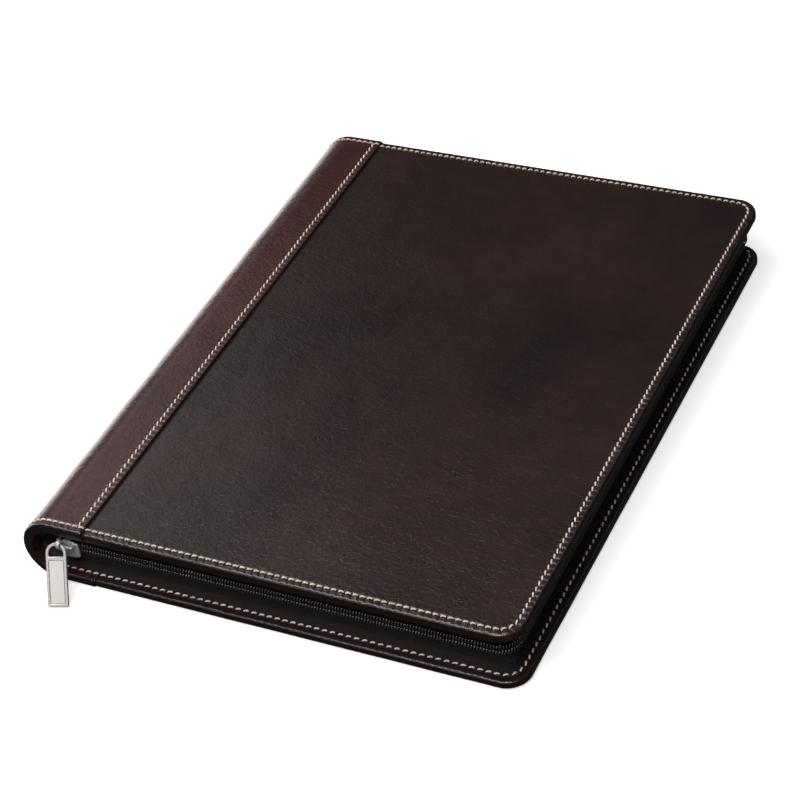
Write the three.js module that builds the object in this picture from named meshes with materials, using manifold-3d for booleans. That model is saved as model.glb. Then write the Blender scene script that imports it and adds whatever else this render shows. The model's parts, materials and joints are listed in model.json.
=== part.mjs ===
// A zip-around leather portfolio case for A4 paper, lying closed on its back cover.
// Millimetres. +X runs from the spine to the free long edge, +Y from the zip's closed end to its far end,
// +Z up. The origin is the centre of the base that the case lies on.
import * as THREE from "three";
import { mergeVertices } from "three/addons/utils/BufferGeometryUtils.js";
import Module from "manifold-3d";

// ---- driving dimensions ----
const WIDTH = 258;
const DEPTH = 335;
const HEIGHT = 35.5;
const COVER = 4.8; // leather, board and turned hem together
const LEATHER = 1.2;
const HEM = 1.0;
const HEM_WIDTH = 14;
const LINING = 0.6;
const GAP = 0.3; // running gap between touching pieces
const CORNER = 12;
const OVERLAY_RAISE = 0.9; // how far the spine leather stands above the front panel
const OVERLAY_EDGE = -93; // where the spine leather ends on both covers

const CHAIN_Z = 19.8;
const CHAIN_INSET = 4.0; // outer face of the coils, from the cover's edge
const CHAIN_CORNER = 11;
const COIL_THICK = 1.9;
const COIL_TALL = 2.5;
const CHAIN_SLOT = 1.2; // between the two coils, for the slider's divider
const TAPE = 0.7;
const TAPE_FLANGE_INSET = 3.4;
const ZIP_END_X = -112; // where both ends of the zip stop, beside the spine

const SLIDER_X = -104.5; // slider centre with the zip closed
const SLIDER_LENGTH = 11.4;
const SLIDER_TALL = 10.4;
const PLATE = 1.2;
const BRIDGE_WIRE = 1.2;
const BRIDGE_Y = -167.2;
const BRIDGE_Z = 23.2;
const LINK_X = -106.5;
const LINK_WIRE = 1.0;

const TAB_WIDTH = 10.2;
const TAB_LENGTH = 30.8; // over its rounded end
const TAB_THICK = 1.3;
const TAB_PIVOT_X = -108.16;
const TAB_PIVOT_Y = -168.99;
const TAB_PIVOT_Z = 25.14;
const TAB_YAW = 18.1; // degrees that the tab is turned towards the free edge
const TAB_LEAN = 55.65; // degrees below level, with the tip on the table

const PAD_WIDTH = 210;
const PAD_LENGTH = 297;
const PAD_SHEETS = 7;
const PAD_CARD = 0.8;
const PAD_X = 11.5;

// ---- positions that follow ----
const RIGHT = WIDTH / 2;
const EDGE_Y = DEPTH / 2;
const SPINE_R = HEIGHT / 2;
const SPINE_X = SPINE_R - RIGHT;
const FRONT_TOP = HEIGHT - OVERLAY_RAISE;
const LINING_BOTTOM = COVER + GAP; // underside of the back lining
const LINING_TOP = FRONT_TOP - COVER - GAP; // upper side of the front lining
const INNER_FLOOR = LINING_BOTTOM + LINING;
const INNER_ROOF = LINING_TOP - LINING;
const LINING_INSET = 7.2;
const TAPE_OUT = CHAIN_INSET + COIL_THICK + GAP; // tape's outer face
const TAPE_IN = TAPE_OUT + TAPE;
const rad = THREE.MathUtils.degToRad;

// ---- materials ----
function finish(color, roughness, metalness = 0) {
  return new THREE.MeshStandardMaterial({ color, roughness, metalness });
}
const panelLeather = finish(0x2f2727, 0.5);
const spineLeather = finish(0x4a3232, 0.4);
const liningCloth = finish(0x1d1a1b, 0.8);
const pocketLeather = finish(0x2a2222, 0.6);
const greyBoard = finish(0x8b867c, 0.9);
const blackTape = finish(0x141314, 0.85);
const blackCoil = finish(0x0d0d0e, 0.35);
const elastic = finish(0x171617, 0.9);
const nickel = finish(0xc9c7c3, 0.25, 1);
const inlaySatin = finish(0xe6e1da, 0.4);
const paper = finish(0xf3efe2, 0.9);

// ---- solids ----
const wasm = await Module();
wasm.setup();

function solid(geometry) {
  const bare = geometry.clone();
  bare.deleteAttribute("normal");
  bare.deleteAttribute("uv");
  const merged = mergeVertices(bare, 1e-4);
  return new wasm.Manifold(
    new wasm.Mesh({
      numProp: 3,
      vertProperties: merged.attributes.position.array,
      triVerts: new Uint32Array(merged.index.array),
    }),
  );
}

function geometryOf(manifold) {
  const mesh = manifold.getMesh();
  const geometry = new THREE.BufferGeometry();
  geometry.setAttribute("position", new THREE.BufferAttribute(mesh.vertProperties, 3));
  geometry.setIndex(new THREE.BufferAttribute(mesh.triVerts, 1));
  geometry.computeVertexNormals();
  return geometry;
}

function join(...geometries) {
  return geometryOf(geometries.map(solid).reduce((whole, next) => whole.add(next)));
}

function cut(body, ...tools) {
  return geometryOf(tools.map(solid).reduce((left, tool) => left.subtract(tool), solid(body)));
}

// A flat outline in X and Y, standing from z = low to z = high.
function plate(shape, low, high) {
  const settings = { depth: high - low, bevelEnabled: false, curveSegments: 8 };
  return new THREE.ExtrudeGeometry(shape, settings).translate(0, 0, low);
}

// An outline in X and Z, running from y = from to y = to.
function run(shape, from, to) {
  const settings = { depth: to - from, bevelEnabled: false, curveSegments: 10 };
  return new THREE.ExtrudeGeometry(shape, settings).rotateX(Math.PI / 2).translate(0, to, 0);
}

function block(x0, x1, y0, y1, z0, z1) {
  const box = new THREE.BoxGeometry(x1 - x0, y1 - y0, z1 - z0);
  return box.translate((x0 + x1) / 2, (y0 + y1) / 2, (z0 + z1) / 2);
}

// The cover's plan: square at the spine, rounded at the two free corners.
function coverPlan(left, inset, radius = Math.max(CORNER - inset, 1)) {
  const right = RIGHT - inset;
  const top = EDGE_Y - inset;
  const shape = new THREE.Shape();
  shape.moveTo(left, -top);
  shape.lineTo(right - radius, -top);
  shape.absarc(right - radius, radius - top, radius, -Math.PI / 2, 0);
  shape.absarc(right - radius, top - radius, radius, 0, Math.PI / 2);
  shape.lineTo(left, top);
  shape.closePath();
  return shape;
}

// A band that follows the three free edges, between two distances in from them.
function zipBand(outer, inner, left = ZIP_END_X) {
  const middle = CHAIN_INSET + CHAIN_CORNER;
  const cornerX = RIGHT - middle;
  const cornerY = EDGE_Y - middle;
  const shape = new THREE.Shape();
  shape.moveTo(left, outer - EDGE_Y);
  shape.absarc(cornerX, -cornerY, middle - outer, -Math.PI / 2, 0);
  shape.absarc(cornerX, cornerY, middle - outer, 0, Math.PI / 2);
  shape.lineTo(left, EDGE_Y - outer);
  shape.lineTo(left, EDGE_Y - inner);
  shape.absarc(cornerX, cornerY, middle - inner, Math.PI / 2, 0, true);
  shape.absarc(cornerX, -cornerY, middle - inner, 0, -Math.PI / 2, true);
  shape.lineTo(left, inner - EDGE_Y);
  shape.closePath();
  return shape;
}

// Angle that takes half a running gap off a strip's end at the fold line.
const FOLD_TRIM = THREE.MathUtils.radToDeg(GAP / 2 / (SPINE_R - COVER));

// A curved strip of the spine between two radii and two angles, in X and Z.
// Angles are degrees from +X towards +Z.
function spineArc(outer, inner, from, to, centre = SPINE_R) {
  const shape = new THREE.Shape();
  shape.absarc(SPINE_X, centre, outer, rad(from), rad(to));
  shape.absarc(SPINE_X, centre, inner, rad(to), rad(from), true);
  shape.closePath();
  return shape;
}

// The quarter of the arc that belongs to a cover: it ends at the fold line, half way round.
function coverArc(outer, inner, top, centre) {
  const from = top ? 90 : 225 + FOLD_TRIM;
  const to = top ? 135 - FOLD_TRIM : 270;
  return run(spineArc(outer, inner, from, to, centre), -1, 1);
}

// That strip with a flat tongue from the arc's end out to the edge of the spine leather.
function spineFlap(outer, inner, top, low, high) {
  const tongue = block(SPINE_X - 0.01, OVERLAY_EDGE, -1, 1, low, high);
  return join(coverArc(outer, inner, top), tongue);
}

// Stretches a piece that is 2 mm long about y = 0 to run from y = from to y = to.
function stretch(geometry, from, to) {
  return geometry.clone().scale(1, (to - from) / 2, 1).translate(0, (from + to) / 2, 0);
}

// Leather over the whole length, closed at both ends by a wall and turned in as a hem.
function hemmed(skin, wall, hem) {
  return join(
    stretch(skin, -EDGE_Y, EDGE_Y),
    stretch(wall, -EDGE_Y, LEATHER - EDGE_Y),
    stretch(wall, EDGE_Y - LEATHER, EDGE_Y),
    stretch(hem, -EDGE_Y, HEM_WIDTH - EDGE_Y),
    stretch(hem, EDGE_Y - HEM_WIDTH, EDGE_Y),
  );
}

// ---- the object ----
const portfolio = new THREE.Group();

function add(name, geometry, material, parent = portfolio) {
  const mesh = new THREE.Mesh(geometry, material);
  mesh.name = name;
  parent.add(mesh);
  return mesh;
}

// Cover leather: an outer sheet turned over the board's three free edges and hemmed inside.
function coverLeather() {
  const left = OVERLAY_EDGE + GAP;
  const board = plate(coverPlan(left - 5, LEATHER), LEATHER, COVER - HEM);
  const window = plate(coverPlan(left - 5, HEM_WIDTH), COVER - HEM - 0.1, COVER + 1);
  return cut(plate(coverPlan(left, 0), 0, COVER), board, window);
}

const LAP = 9; // how far the front panel runs on under the spine leather
const LAP_THICK = 0.6;

function frontCoverLeather() {
  const left = OVERLAY_EDGE + GAP;
  const edge = EDGE_Y - LEATHER - GAP;
  const panel = coverLeather().scale(1, -1, -1).translate(0, 0, FRONT_TOP);
  const top = FRONT_TOP - LEATHER;
  const lap = block(left - LAP, left + 0.5, -edge, edge, top, top + LAP_THICK);
  return join(panel, lap);
}

function coverBoard(low) {
  const inset = LEATHER + GAP;
  return plate(coverPlan(SPINE_X + 1, inset), low, low + COVER - LEATHER - HEM - 2 * GAP);
}

// Lining: flat over the cover, then following the inside of the spine up to the fold line.
const LINING_R = (LINING_TOP - LINING_BOTTOM) / 2;
const LINING_CENTRE = (LINING_TOP + LINING_BOTTOM) / 2;
const LINING_END = EDGE_Y - LINING_INSET;
const LINING_CORNER = CHAIN_INSET + CHAIN_CORNER - LINING_INSET;

function coverLining(top) {
  const curve = coverArc(LINING_R, LINING_R - LINING, top, LINING_CENTRE);
  const sheet = plate(coverPlan(SPINE_X - 0.01, LINING_INSET, LINING_CORNER), 0, LINING);
  return join(
    stretch(curve, -LINING_END, LINING_END),
    sheet.translate(0, 0, top ? INNER_ROOF : LINING_BOTTOM),
  );
}

// ---- back cover ----
add("back_cover_leather", coverLeather(), panelLeather);
add("back_cover_board", coverBoard(LEATHER + GAP), greyBoard);
add("back_lining", coverLining(false), liningCloth);

// The spine leather's lap on a cover, from the fold line to its stitched edge.
function spineFlapLeather(top) {
  const inner = SPINE_R - COVER;
  const innerZ = top ? FRONT_TOP - COVER : COVER;
  const outerZ = top ? HEIGHT : 0;
  const into = Math.sign(innerZ - outerZ);
  const layer = (outer, depth, z0, z1) =>
    spineFlap(outer, outer - depth, top, Math.min(z0, z1), Math.max(z0, z1));
  return hemmed(
    layer(SPINE_R, LEATHER, outerZ, outerZ + into * LEATHER),
    layer(SPINE_R, COVER, outerZ, innerZ),
    layer(inner + HEM, HEM, innerZ, innerZ - into * HEM),
  );
}
add("spine_leather_back", spineFlapLeather(false), spineLeather);

// ---- front cover ----
const FRONT_BOARD_LOW = FRONT_TOP - COVER + HEM + GAP;
add("front_cover_leather", frontCoverLeather(), panelLeather);
add("front_cover_board", coverBoard(FRONT_BOARD_LOW), greyBoard);
add("front_lining", coverLining(true), liningCloth);
add("spine_leather_front", spineFlapLeather(true), spineLeather);

// ---- spine ----
function spineStrip(outer, inner, centre) {
  return run(spineArc(outer, inner, 135 + FOLD_TRIM, 225 - FOLD_TRIM, centre), -1, 1);
}
const spineInner = SPINE_R - COVER;
const spineShell = hemmed(
  spineStrip(SPINE_R, SPINE_R - LEATHER),
  spineStrip(SPINE_R, spineInner),
  spineStrip(spineInner + HEM, spineInner),
);
add("spine_leather", spineShell, spineLeather);

const stiffenerEnd = EDGE_Y - LEATHER - GAP;
const stiffener = spineStrip(SPINE_R - LEATHER - GAP, spineInner + HEM + GAP);
add("spine_stiffener", stretch(stiffener, -stiffenerEnd, stiffenerEnd), greyBoard);

const spineLining = spineStrip(LINING_R, LINING_R - LINING, LINING_CENTRE);
add("spine_lining", stretch(spineLining, -LINING_END, LINING_END), liningCloth);

// ---- zip ----
const CHAIN_HALF = CHAIN_SLOT / 2;

function zipTape(flangeLow, wallLow, wallHigh) {
  const flange = plate(zipBand(TAPE_FLANGE_INSET, TAPE_IN), flangeLow, flangeLow + TAPE);
  const wall = plate(zipBand(TAPE_OUT, TAPE_IN), wallLow, wallHigh);
  return join(flange, wall);
}
const upperFlange = FRONT_TOP - COVER - GAP - TAPE;
const lowerTape = zipTape(LINING_BOTTOM, LINING_BOTTOM, CHAIN_Z - CHAIN_HALF);
const upperTape = zipTape(upperFlange, CHAIN_Z + CHAIN_HALF, upperFlange + TAPE);
add("lower_zip_tape", lowerTape, blackTape);
add("upper_zip_tape", upperTape, blackTape);

const STOP_LENGTH = 2.4;
const coilStart = ZIP_END_X + STOP_LENGTH + GAP;
const coilBand = zipBand(CHAIN_INSET, CHAIN_INSET + COIL_THICK, coilStart);
const coilTop = CHAIN_Z + CHAIN_HALF + COIL_TALL;
const coilBottom = CHAIN_Z - CHAIN_HALF - COIL_TALL;
add("lower_zip_coil", plate(coilBand, coilBottom, CHAIN_Z - CHAIN_HALF), blackCoil);
add("upper_zip_coil", plate(coilBand, CHAIN_Z + CHAIN_HALF, coilTop), blackCoil);

// Stops: one clamped on each coil at the closed end, and one across both at the far end.
function zipStop(side, low, high) {
  const near = side * (EDGE_Y - CHAIN_INSET);
  const far = side * (EDGE_Y - CHAIN_INSET - COIL_THICK);
  const y0 = Math.min(near, far);
  return block(ZIP_END_X, ZIP_END_X + STOP_LENGTH, y0, y0 + COIL_THICK, low, high);
}
add("lower_top_stop", zipStop(-1, coilBottom, CHAIN_Z - CHAIN_HALF), nickel);
add("upper_top_stop", zipStop(-1, CHAIN_Z + CHAIN_HALF, coilTop), nickel);
add("bottom_stop", zipStop(1, coilBottom, coilTop), nickel);

// ---- slider ----
const coilFace = CHAIN_INSET - EDGE_Y;
const plateFace = coilFace - GAP; // inner face of the slider's front plate
const frontFace = plateFace - PLATE;
const backFace = TAPE_IN - EDGE_Y + GAP; // inner face of its back plate

// A slider plate has slanting corners where the two coils enter and narrows where the closed chain leaves.
const MOUTH_SLANT_X = 3.6;
const MOUTH_SLANT_Z = 2.8;
const TAIL_BEND = 1.0;
const SHOULDER_X = SLIDER_X + 1.5; // where the plate starts to narrow

function sliderPlate(y0, y1) {
  const mouth = SLIDER_X - SLIDER_LENGTH / 2;
  const tail = SLIDER_X + SLIDER_LENGTH / 2;
  const top = CHAIN_Z + SLIDER_TALL / 2;
  const bottom = CHAIN_Z - SLIDER_TALL / 2;
  const tailTop = top - 1.1;
  const tailBottom = bottom + 1.1;
  const shape = new THREE.Shape();
  shape.moveTo(mouth, bottom + MOUTH_SLANT_Z);
  shape.lineTo(mouth + MOUTH_SLANT_X, bottom);
  shape.lineTo(SHOULDER_X, bottom);
  shape.lineTo(tail - TAIL_BEND, tailBottom);
  shape.quadraticCurveTo(tail, tailBottom, tail, tailBottom + TAIL_BEND);
  shape.lineTo(tail, tailTop - TAIL_BEND);
  shape.quadraticCurveTo(tail, tailTop, tail - TAIL_BEND, tailTop);
  shape.lineTo(SHOULDER_X, top);
  shape.lineTo(mouth + MOUTH_SLANT_X, top);
  shape.lineTo(mouth, top - MOUTH_SLANT_Z);
  shape.closePath();
  return run(shape, y0, y1);
}

// The wire arch on the front plate that the pull hangs from.
const BRIDGE_BEND = 1.2;
const BRIDGE_HALF = 3.5;

function bridge() {
  const half = BRIDGE_HALF;
  const foot = plateFace - 0.4; // sunk into the front plate
  const bendY = BRIDGE_Y + BRIDGE_BEND;
  const bendX = half - BRIDGE_BEND;
  const at = (x, y) => new THREE.Vector3(SLIDER_X + x, y, BRIDGE_Z);
  const path = new THREE.CurvePath();
  path.add(new THREE.LineCurve3(at(-half, foot), at(-half, bendY)));
  path.add(new THREE.QuadraticBezierCurve3(at(-half, bendY), at(-half, BRIDGE_Y), at(-bendX, BRIDGE_Y)));
  path.add(new THREE.LineCurve3(at(-bendX, BRIDGE_Y), at(bendX, BRIDGE_Y)));
  path.add(new THREE.QuadraticBezierCurve3(at(bendX, BRIDGE_Y), at(half, BRIDGE_Y), at(half, bendY)));
  path.add(new THREE.LineCurve3(at(half, bendY), at(half, foot)));
  const section = new THREE.Shape().absarc(0, 0, BRIDGE_WIRE / 2, 0, 2 * Math.PI);
  const settings = { steps: 26, extrudePath: path, curveSegments: 5, bevelEnabled: false };
  return new THREE.ExtrudeGeometry(section, settings);
}

const DIVIDER = 0.6;
const dividerEnd = SLIDER_X - SLIDER_LENGTH / 2 + 3.4;
const lipTop = coilBottom - GAP;
const lipEnd = TAPE_OUT - EDGE_Y - GAP; // the lip stops short of the tape
const divider = block(
  SLIDER_X - SLIDER_LENGTH / 2 + 0.4, dividerEnd,
  plateFace - 0.2, backFace + 0.2,
  CHAIN_Z - DIVIDER / 2, CHAIN_Z + DIVIDER / 2,
);
const lip = block(
  SLIDER_X - SLIDER_LENGTH / 2 + MOUTH_SLANT_X, SHOULDER_X,
  plateFace - 0.2, lipEnd,
  CHAIN_Z - SLIDER_TALL / 2, lipTop,
);
const sliderBody = join(
  sliderPlate(frontFace, plateFace),
  sliderPlate(backFace, backFace + PLATE),
  divider,
  lip,
  bridge(),
);
add("slider_body", sliderBody, nickel);

// ---- pull link: an oval wire ring through the bridge and the pull tab's window ----
const LINK_CLEAR = LINK_WIRE / 2 + 0.42; // from the bridge's or the tab's surface to the ring's middle line
const TAB_RAIL = 1.5;

// The tab's arch crosses the ring to one side of the tab's middle, so a little nearer the slider.
const ARCH_Y = TAB_PIVOT_Y + (LINK_X - TAB_PIVOT_X) * Math.tan(rad(TAB_YAW));

function linkRing() {
  const forward = BRIDGE_Y - ARCH_Y;
  const up = TAB_PIVOT_Z - BRIDGE_Z;
  const tilt = Math.atan2(up, forward);
  const bridgeEnd = BRIDGE_WIRE / 2 + LINK_CLEAR;
  const tabEnd = TAB_RAIL / 2 + LINK_CLEAR;
  const long = (Math.hypot(forward, up) + bridgeEnd + tabEnd) / 2;
  const wide = 0.7 + LINK_CLEAR;
  const centre = long - bridgeEnd; // from the bridge, along the ring
  class Oval extends THREE.Curve {
    getPoint(t, target = new THREE.Vector3()) {
      const a = 2 * Math.PI * t;
      const squareness = 0.75;
      const round = (v) => Math.sign(v) * Math.abs(v) ** squareness;
      const along = centre + long * round(Math.cos(a));
      const aside = wide * round(Math.sin(a));
      const y = BRIDGE_Y - along * Math.cos(tilt) + aside * Math.sin(tilt);
      const z = BRIDGE_Z + along * Math.sin(tilt) + aside * Math.cos(tilt);
      return target.set(LINK_X, y, z);
    }
  }
  return geometryOf(solid(new THREE.TubeGeometry(new Oval(), 24, LINK_WIRE / 2, 8, true)));
}
add("pull_link", linkRing(), nickel);

// ---- pull tab: a metal frame with a window at the top and a satin inlay below ----
// The tab is drawn flat, its width in X, its length down -Y from the pivot, its face to +Z.
const tabGroup = new THREE.Group();
tabGroup.position.set(TAB_PIVOT_X, TAB_PIVOT_Y, TAB_PIVOT_Z);
tabGroup.rotation.set(rad(TAB_LEAN), 0, rad(TAB_YAW), "ZYX");
portfolio.add(tabGroup);

const TAB_TOP = 1.1; // from the pivot to the rounded end
const WINDOW_TOP = TAB_TOP - TAB_RAIL;
const WINDOW_LENGTH = 5.2;
const TAB_SILL = 1.9; // metal between the window and the inlay
const INLAY_DEPTH = 0.4;

function roundedBox(x0, x1, y0, y1, radius) {
  const shape = new THREE.Shape();
  shape.moveTo(x0 + radius, y0);
  shape.lineTo(x1 - radius, y0);
  shape.absarc(x1 - radius, y0 + radius, radius, -Math.PI / 2, 0);
  shape.absarc(x1 - radius, y1 - radius, radius, 0, Math.PI / 2);
  shape.absarc(x0 + radius, y1 - radius, radius, Math.PI / 2, Math.PI);
  shape.absarc(x0 + radius, y0 + radius, radius, Math.PI, 1.5 * Math.PI);
  return shape;
}

function tabFrame() {
  const half = TAB_WIDTH / 2;
  const bottom = TAB_TOP - TAB_LENGTH;
  const outline = new THREE.Shape();
  outline.moveTo(-half + 0.8, bottom);
  outline.lineTo(half - 0.8, bottom);
  outline.absarc(half - 0.8, bottom + 0.8, 0.8, -Math.PI / 2, 0);
  outline.absarc(0, TAB_TOP - half, half, 0, Math.PI);
  outline.absarc(-half + 0.8, bottom + 0.8, 0.8, Math.PI, 1.5 * Math.PI);
  const wide = half - TAB_RAIL;
  const window = new THREE.Shape();
  window.moveTo(-wide, WINDOW_TOP - WINDOW_LENGTH);
  window.lineTo(wide, WINDOW_TOP - WINDOW_LENGTH);
  window.absarc(0, WINDOW_TOP - wide, wide, 0, Math.PI);
  const recessTop = WINDOW_TOP - WINDOW_LENGTH - TAB_SILL;
  const recess = roundedBox(-wide, wide, bottom + TAB_RAIL, recessTop, 0.4);
  return cut(
    plate(outline, -TAB_THICK / 2, TAB_THICK / 2),
    plate(window, -TAB_THICK, TAB_THICK),
    plate(recess, TAB_THICK / 2 - INLAY_DEPTH - GAP, TAB_THICK),
  );
}

function tabInlay() {
  const wide = TAB_WIDTH / 2 - TAB_RAIL - GAP;
  const top = WINDOW_TOP - WINDOW_LENGTH - TAB_SILL - GAP;
  const bottom = TAB_TOP - TAB_LENGTH + TAB_RAIL + GAP;
  return plate(roundedBox(-wide, wide, bottom, top, 0.3), TAB_THICK / 2 - INLAY_DEPTH, TAB_THICK / 2);
}
add("pull_tab", tabFrame(), nickel, tabGroup);
add("pull_inlay", tabInlay(), inlaySatin, tabGroup);

// ---- writing side, inside the back cover ----
const CARD_LOW = INNER_FLOOR + GAP;
const SLEEVE_LOW = CARD_LOW + PAD_CARD + GAP;
const SLEEVE_THICK = 0.8;
const SLEEVE_TOP_Y = 30;
const SHEETS_LOW = SLEEVE_LOW + SLEEVE_THICK + GAP;
const padLeft = PAD_X - PAD_WIDTH / 2;
const padRight = PAD_X + PAD_WIDTH / 2;
const padEnd = PAD_LENGTH / 2;
const BINDING_WIDTH = 12;
const BINDING_THICK = 0.5;

function padSleeve() {
  const left = padLeft - 4;
  const right = padRight + 4;
  const bottom = -padEnd - 8;
  const panel = block(left, right, bottom, SLEEVE_TOP_Y, SLEEVE_LOW, SLEEVE_LOW + SLEEVE_THICK);
  const sunk = SLEEVE_LOW + 0.1;
  return join(
    panel,
    block(left, padLeft - GAP, bottom, SLEEVE_TOP_Y, CARD_LOW, sunk),
    block(padRight + GAP, right, bottom, SLEEVE_TOP_Y, CARD_LOW, sunk),
    block(left, right, bottom, -padEnd - GAP, CARD_LOW, sunk),
  );
}
add("pad_sleeve", padSleeve(), pocketLeather);
const backingCard = block(padLeft, padRight, -padEnd, padEnd, CARD_LOW, CARD_LOW + PAD_CARD);
add("pad_backing_card", backingCard, greyBoard);

const sheetsTop = SHEETS_LOW + PAD_SHEETS;
const sheetsEnd = padEnd - BINDING_THICK - GAP;
add("pad_sheets", block(padLeft, padRight, -padEnd, sheetsEnd, SHEETS_LOW, sheetsTop), paper);

// The binding strip folds over the bound end, from the card's top edge onto the first sheet.
function padBinding() {
  const low = CARD_LOW + PAD_CARD + GAP;
  const high = sheetsTop + GAP + BINDING_THICK;
  const back = padEnd;
  return join(
    block(padLeft, padRight, back - BINDING_THICK, back, low, high),
    block(padLeft, padRight, back - BINDING_WIDTH, back, high - BINDING_THICK, high),
  );
}
add("pad_binding", padBinding(), blackTape);

const LOOP_OUTER = 6.2;
const LOOP_WALL = 0.9;
const LOOP_X = -103.6;
const LOOP_Y = 40;
const LOOP_LENGTH = 38;

// The pen loop: an elastic tube sewn flat to the back lining beside the fold.
function penLoop() {
  const centre = INNER_FLOOR + GAP + LOOP_OUTER;
  const tube = new THREE.Shape().absarc(LOOP_X, centre, LOOP_OUTER, 0, 2 * Math.PI);
  const bore = new THREE.Shape().absarc(LOOP_X, centre, LOOP_OUTER - LOOP_WALL, 0, 2 * Math.PI);
  const y0 = LOOP_Y - LOOP_LENGTH / 2;
  const y1 = LOOP_Y + LOOP_LENGTH / 2;
  const foot = block(LOOP_X - 3.5, LOOP_X + 3.5, y0, y1, INNER_FLOOR + GAP, INNER_FLOOR + GAP + 1.1);
  return cut(join(run(tube, y0, y1), foot), run(bore, y0 - 1, y1 + 1));
}
add("pen_loop", penLoop(), elastic);

// ---- document side, inside the front cover ----
const POCKET_SPACE = 1.6;
const POCKET_WALL = 0.8;
const POCKET_LEFT = -90;
const POCKET_RIGHT = 118;
const POCKET_BOTTOM = -156;
const POCKET_TOP = 96;
const POCKET_SLOPE = 30; // the mouth rises towards the spine
const POCKET_SEAM = 5;

// A pocket sewn on three sides under the surface at z = roof, open towards +Y.
function pocket(left, right, bottom, topLeft, topRight, roof, space) {
  const low = roof - space - POCKET_WALL;
  const panel = new THREE.Shape();
  panel.moveTo(left, bottom);
  panel.lineTo(right, bottom);
  panel.lineTo(right, topRight);
  panel.lineTo(left, topLeft);
  panel.closePath();
  const sunk = roof - space - 0.1;
  return join(
    plate(panel, low, roof - space),
    block(left, left + POCKET_SEAM, bottom, topLeft - 1, sunk, roof),
    block(right - POCKET_SEAM, right, bottom, topRight - 1, sunk, roof),
    block(left, right, bottom, bottom + POCKET_SEAM, sunk, roof),
  );
}
const pocketRoof = INNER_ROOF - GAP;
const pocketMouth = POCKET_TOP + POCKET_SLOPE;
const documentPocket = pocket(
  POCKET_LEFT, POCKET_RIGHT, POCKET_BOTTOM, pocketMouth, POCKET_TOP, pocketRoof, POCKET_SPACE);
add("document_pocket", documentPocket, pocketLeather);

const CARD_POCKETS = 3;
const CARD_POCKET_WIDTH = 102;
const CARD_POCKET_TALL = 58;
const CARD_POCKET_STEP = 13;
const CARD_SPACE = 0.5;
const CARD_RIGHT = 106;
const CARD_BOTTOM = -140;

// Card pockets lie on the document pocket, each one lower and in front of the last.
for (let i = 0; i < CARD_POCKETS; i++) {
  const roof = pocketRoof - POCKET_SPACE - POCKET_WALL - GAP - i * (CARD_SPACE + POCKET_WALL + GAP);
  const top = CARD_BOTTOM + CARD_POCKET_TALL + (CARD_POCKETS - 1 - i) * CARD_POCKET_STEP;
  const left = CARD_RIGHT - CARD_POCKET_WIDTH;
  const cardPocket = pocket(left, CARD_RIGHT, CARD_BOTTOM, top, top, roof, CARD_SPACE);
  add(`card_pocket_${i + 1}`, cardPocket, pocketLeather);
}

export default portfolio;
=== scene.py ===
"""A zip-around leather portfolio case: its looks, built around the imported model.

Shapes are worked out in millimetres and written in metres. +X runs from the spine to the free long edge,
+Y from the zip's closed end to its far end, +Z up.
"""

import json
import math

import bmesh
import bpy
import numpy as np
from mathutils import Matrix, Vector, noise


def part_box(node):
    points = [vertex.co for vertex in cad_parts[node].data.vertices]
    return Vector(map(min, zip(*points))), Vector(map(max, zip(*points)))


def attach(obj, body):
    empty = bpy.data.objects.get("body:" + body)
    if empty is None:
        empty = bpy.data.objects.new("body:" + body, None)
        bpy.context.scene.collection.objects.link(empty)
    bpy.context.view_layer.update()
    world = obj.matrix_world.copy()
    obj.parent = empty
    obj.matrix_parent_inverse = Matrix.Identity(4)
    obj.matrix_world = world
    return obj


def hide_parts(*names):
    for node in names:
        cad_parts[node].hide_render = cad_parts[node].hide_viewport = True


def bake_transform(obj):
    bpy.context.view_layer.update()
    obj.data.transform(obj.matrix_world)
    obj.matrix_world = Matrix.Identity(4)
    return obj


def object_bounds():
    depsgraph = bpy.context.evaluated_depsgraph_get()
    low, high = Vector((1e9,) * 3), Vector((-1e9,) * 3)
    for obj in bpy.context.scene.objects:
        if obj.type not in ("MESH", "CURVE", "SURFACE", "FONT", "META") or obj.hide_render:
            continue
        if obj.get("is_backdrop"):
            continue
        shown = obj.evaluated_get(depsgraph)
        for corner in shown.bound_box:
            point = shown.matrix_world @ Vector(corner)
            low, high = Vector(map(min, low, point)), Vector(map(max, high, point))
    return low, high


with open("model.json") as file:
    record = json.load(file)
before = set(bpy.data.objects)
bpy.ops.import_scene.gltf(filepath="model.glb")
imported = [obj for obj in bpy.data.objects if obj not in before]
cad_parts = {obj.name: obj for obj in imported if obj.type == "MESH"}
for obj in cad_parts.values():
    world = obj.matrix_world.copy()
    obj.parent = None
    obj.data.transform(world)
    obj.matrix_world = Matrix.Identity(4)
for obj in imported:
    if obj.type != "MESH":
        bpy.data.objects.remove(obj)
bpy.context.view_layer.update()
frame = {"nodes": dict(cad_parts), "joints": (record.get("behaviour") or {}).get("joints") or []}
MM = 0.001


def node_box(name):
    """A CAD node's lowest and highest corners, in millimetres."""
    low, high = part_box(name)
    return np.array(low) / MM, np.array(high) / MM


def joint_point(name):
    joint = next(j for j in frame["joints"] if j["name"] == name)
    return np.array(joint["pos_m"]) / MM, np.array(joint["axis"])


# ---- places that the frame gives ----
front_low, front_high = node_box("front_cover_leather")
spine_low, spine_high = node_box("spine_leather_front")
shell_low, _ = node_box("spine_leather")
lower_coil_low, lower_coil_high = node_box("lower_zip_coil")
upper_coil_low, upper_coil_high = node_box("upper_zip_coil")
back_lining_low, back_lining_high = node_box("back_lining")
front_lining_low, front_lining_high = node_box("front_lining")
slider_low, slider_high = node_box("slider_body")
stop_low, _ = node_box("lower_top_stop")
link_pivot, _ = joint_point("link_swing")
tab_pivot, tab_axis = joint_point("tab_swing")

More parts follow.
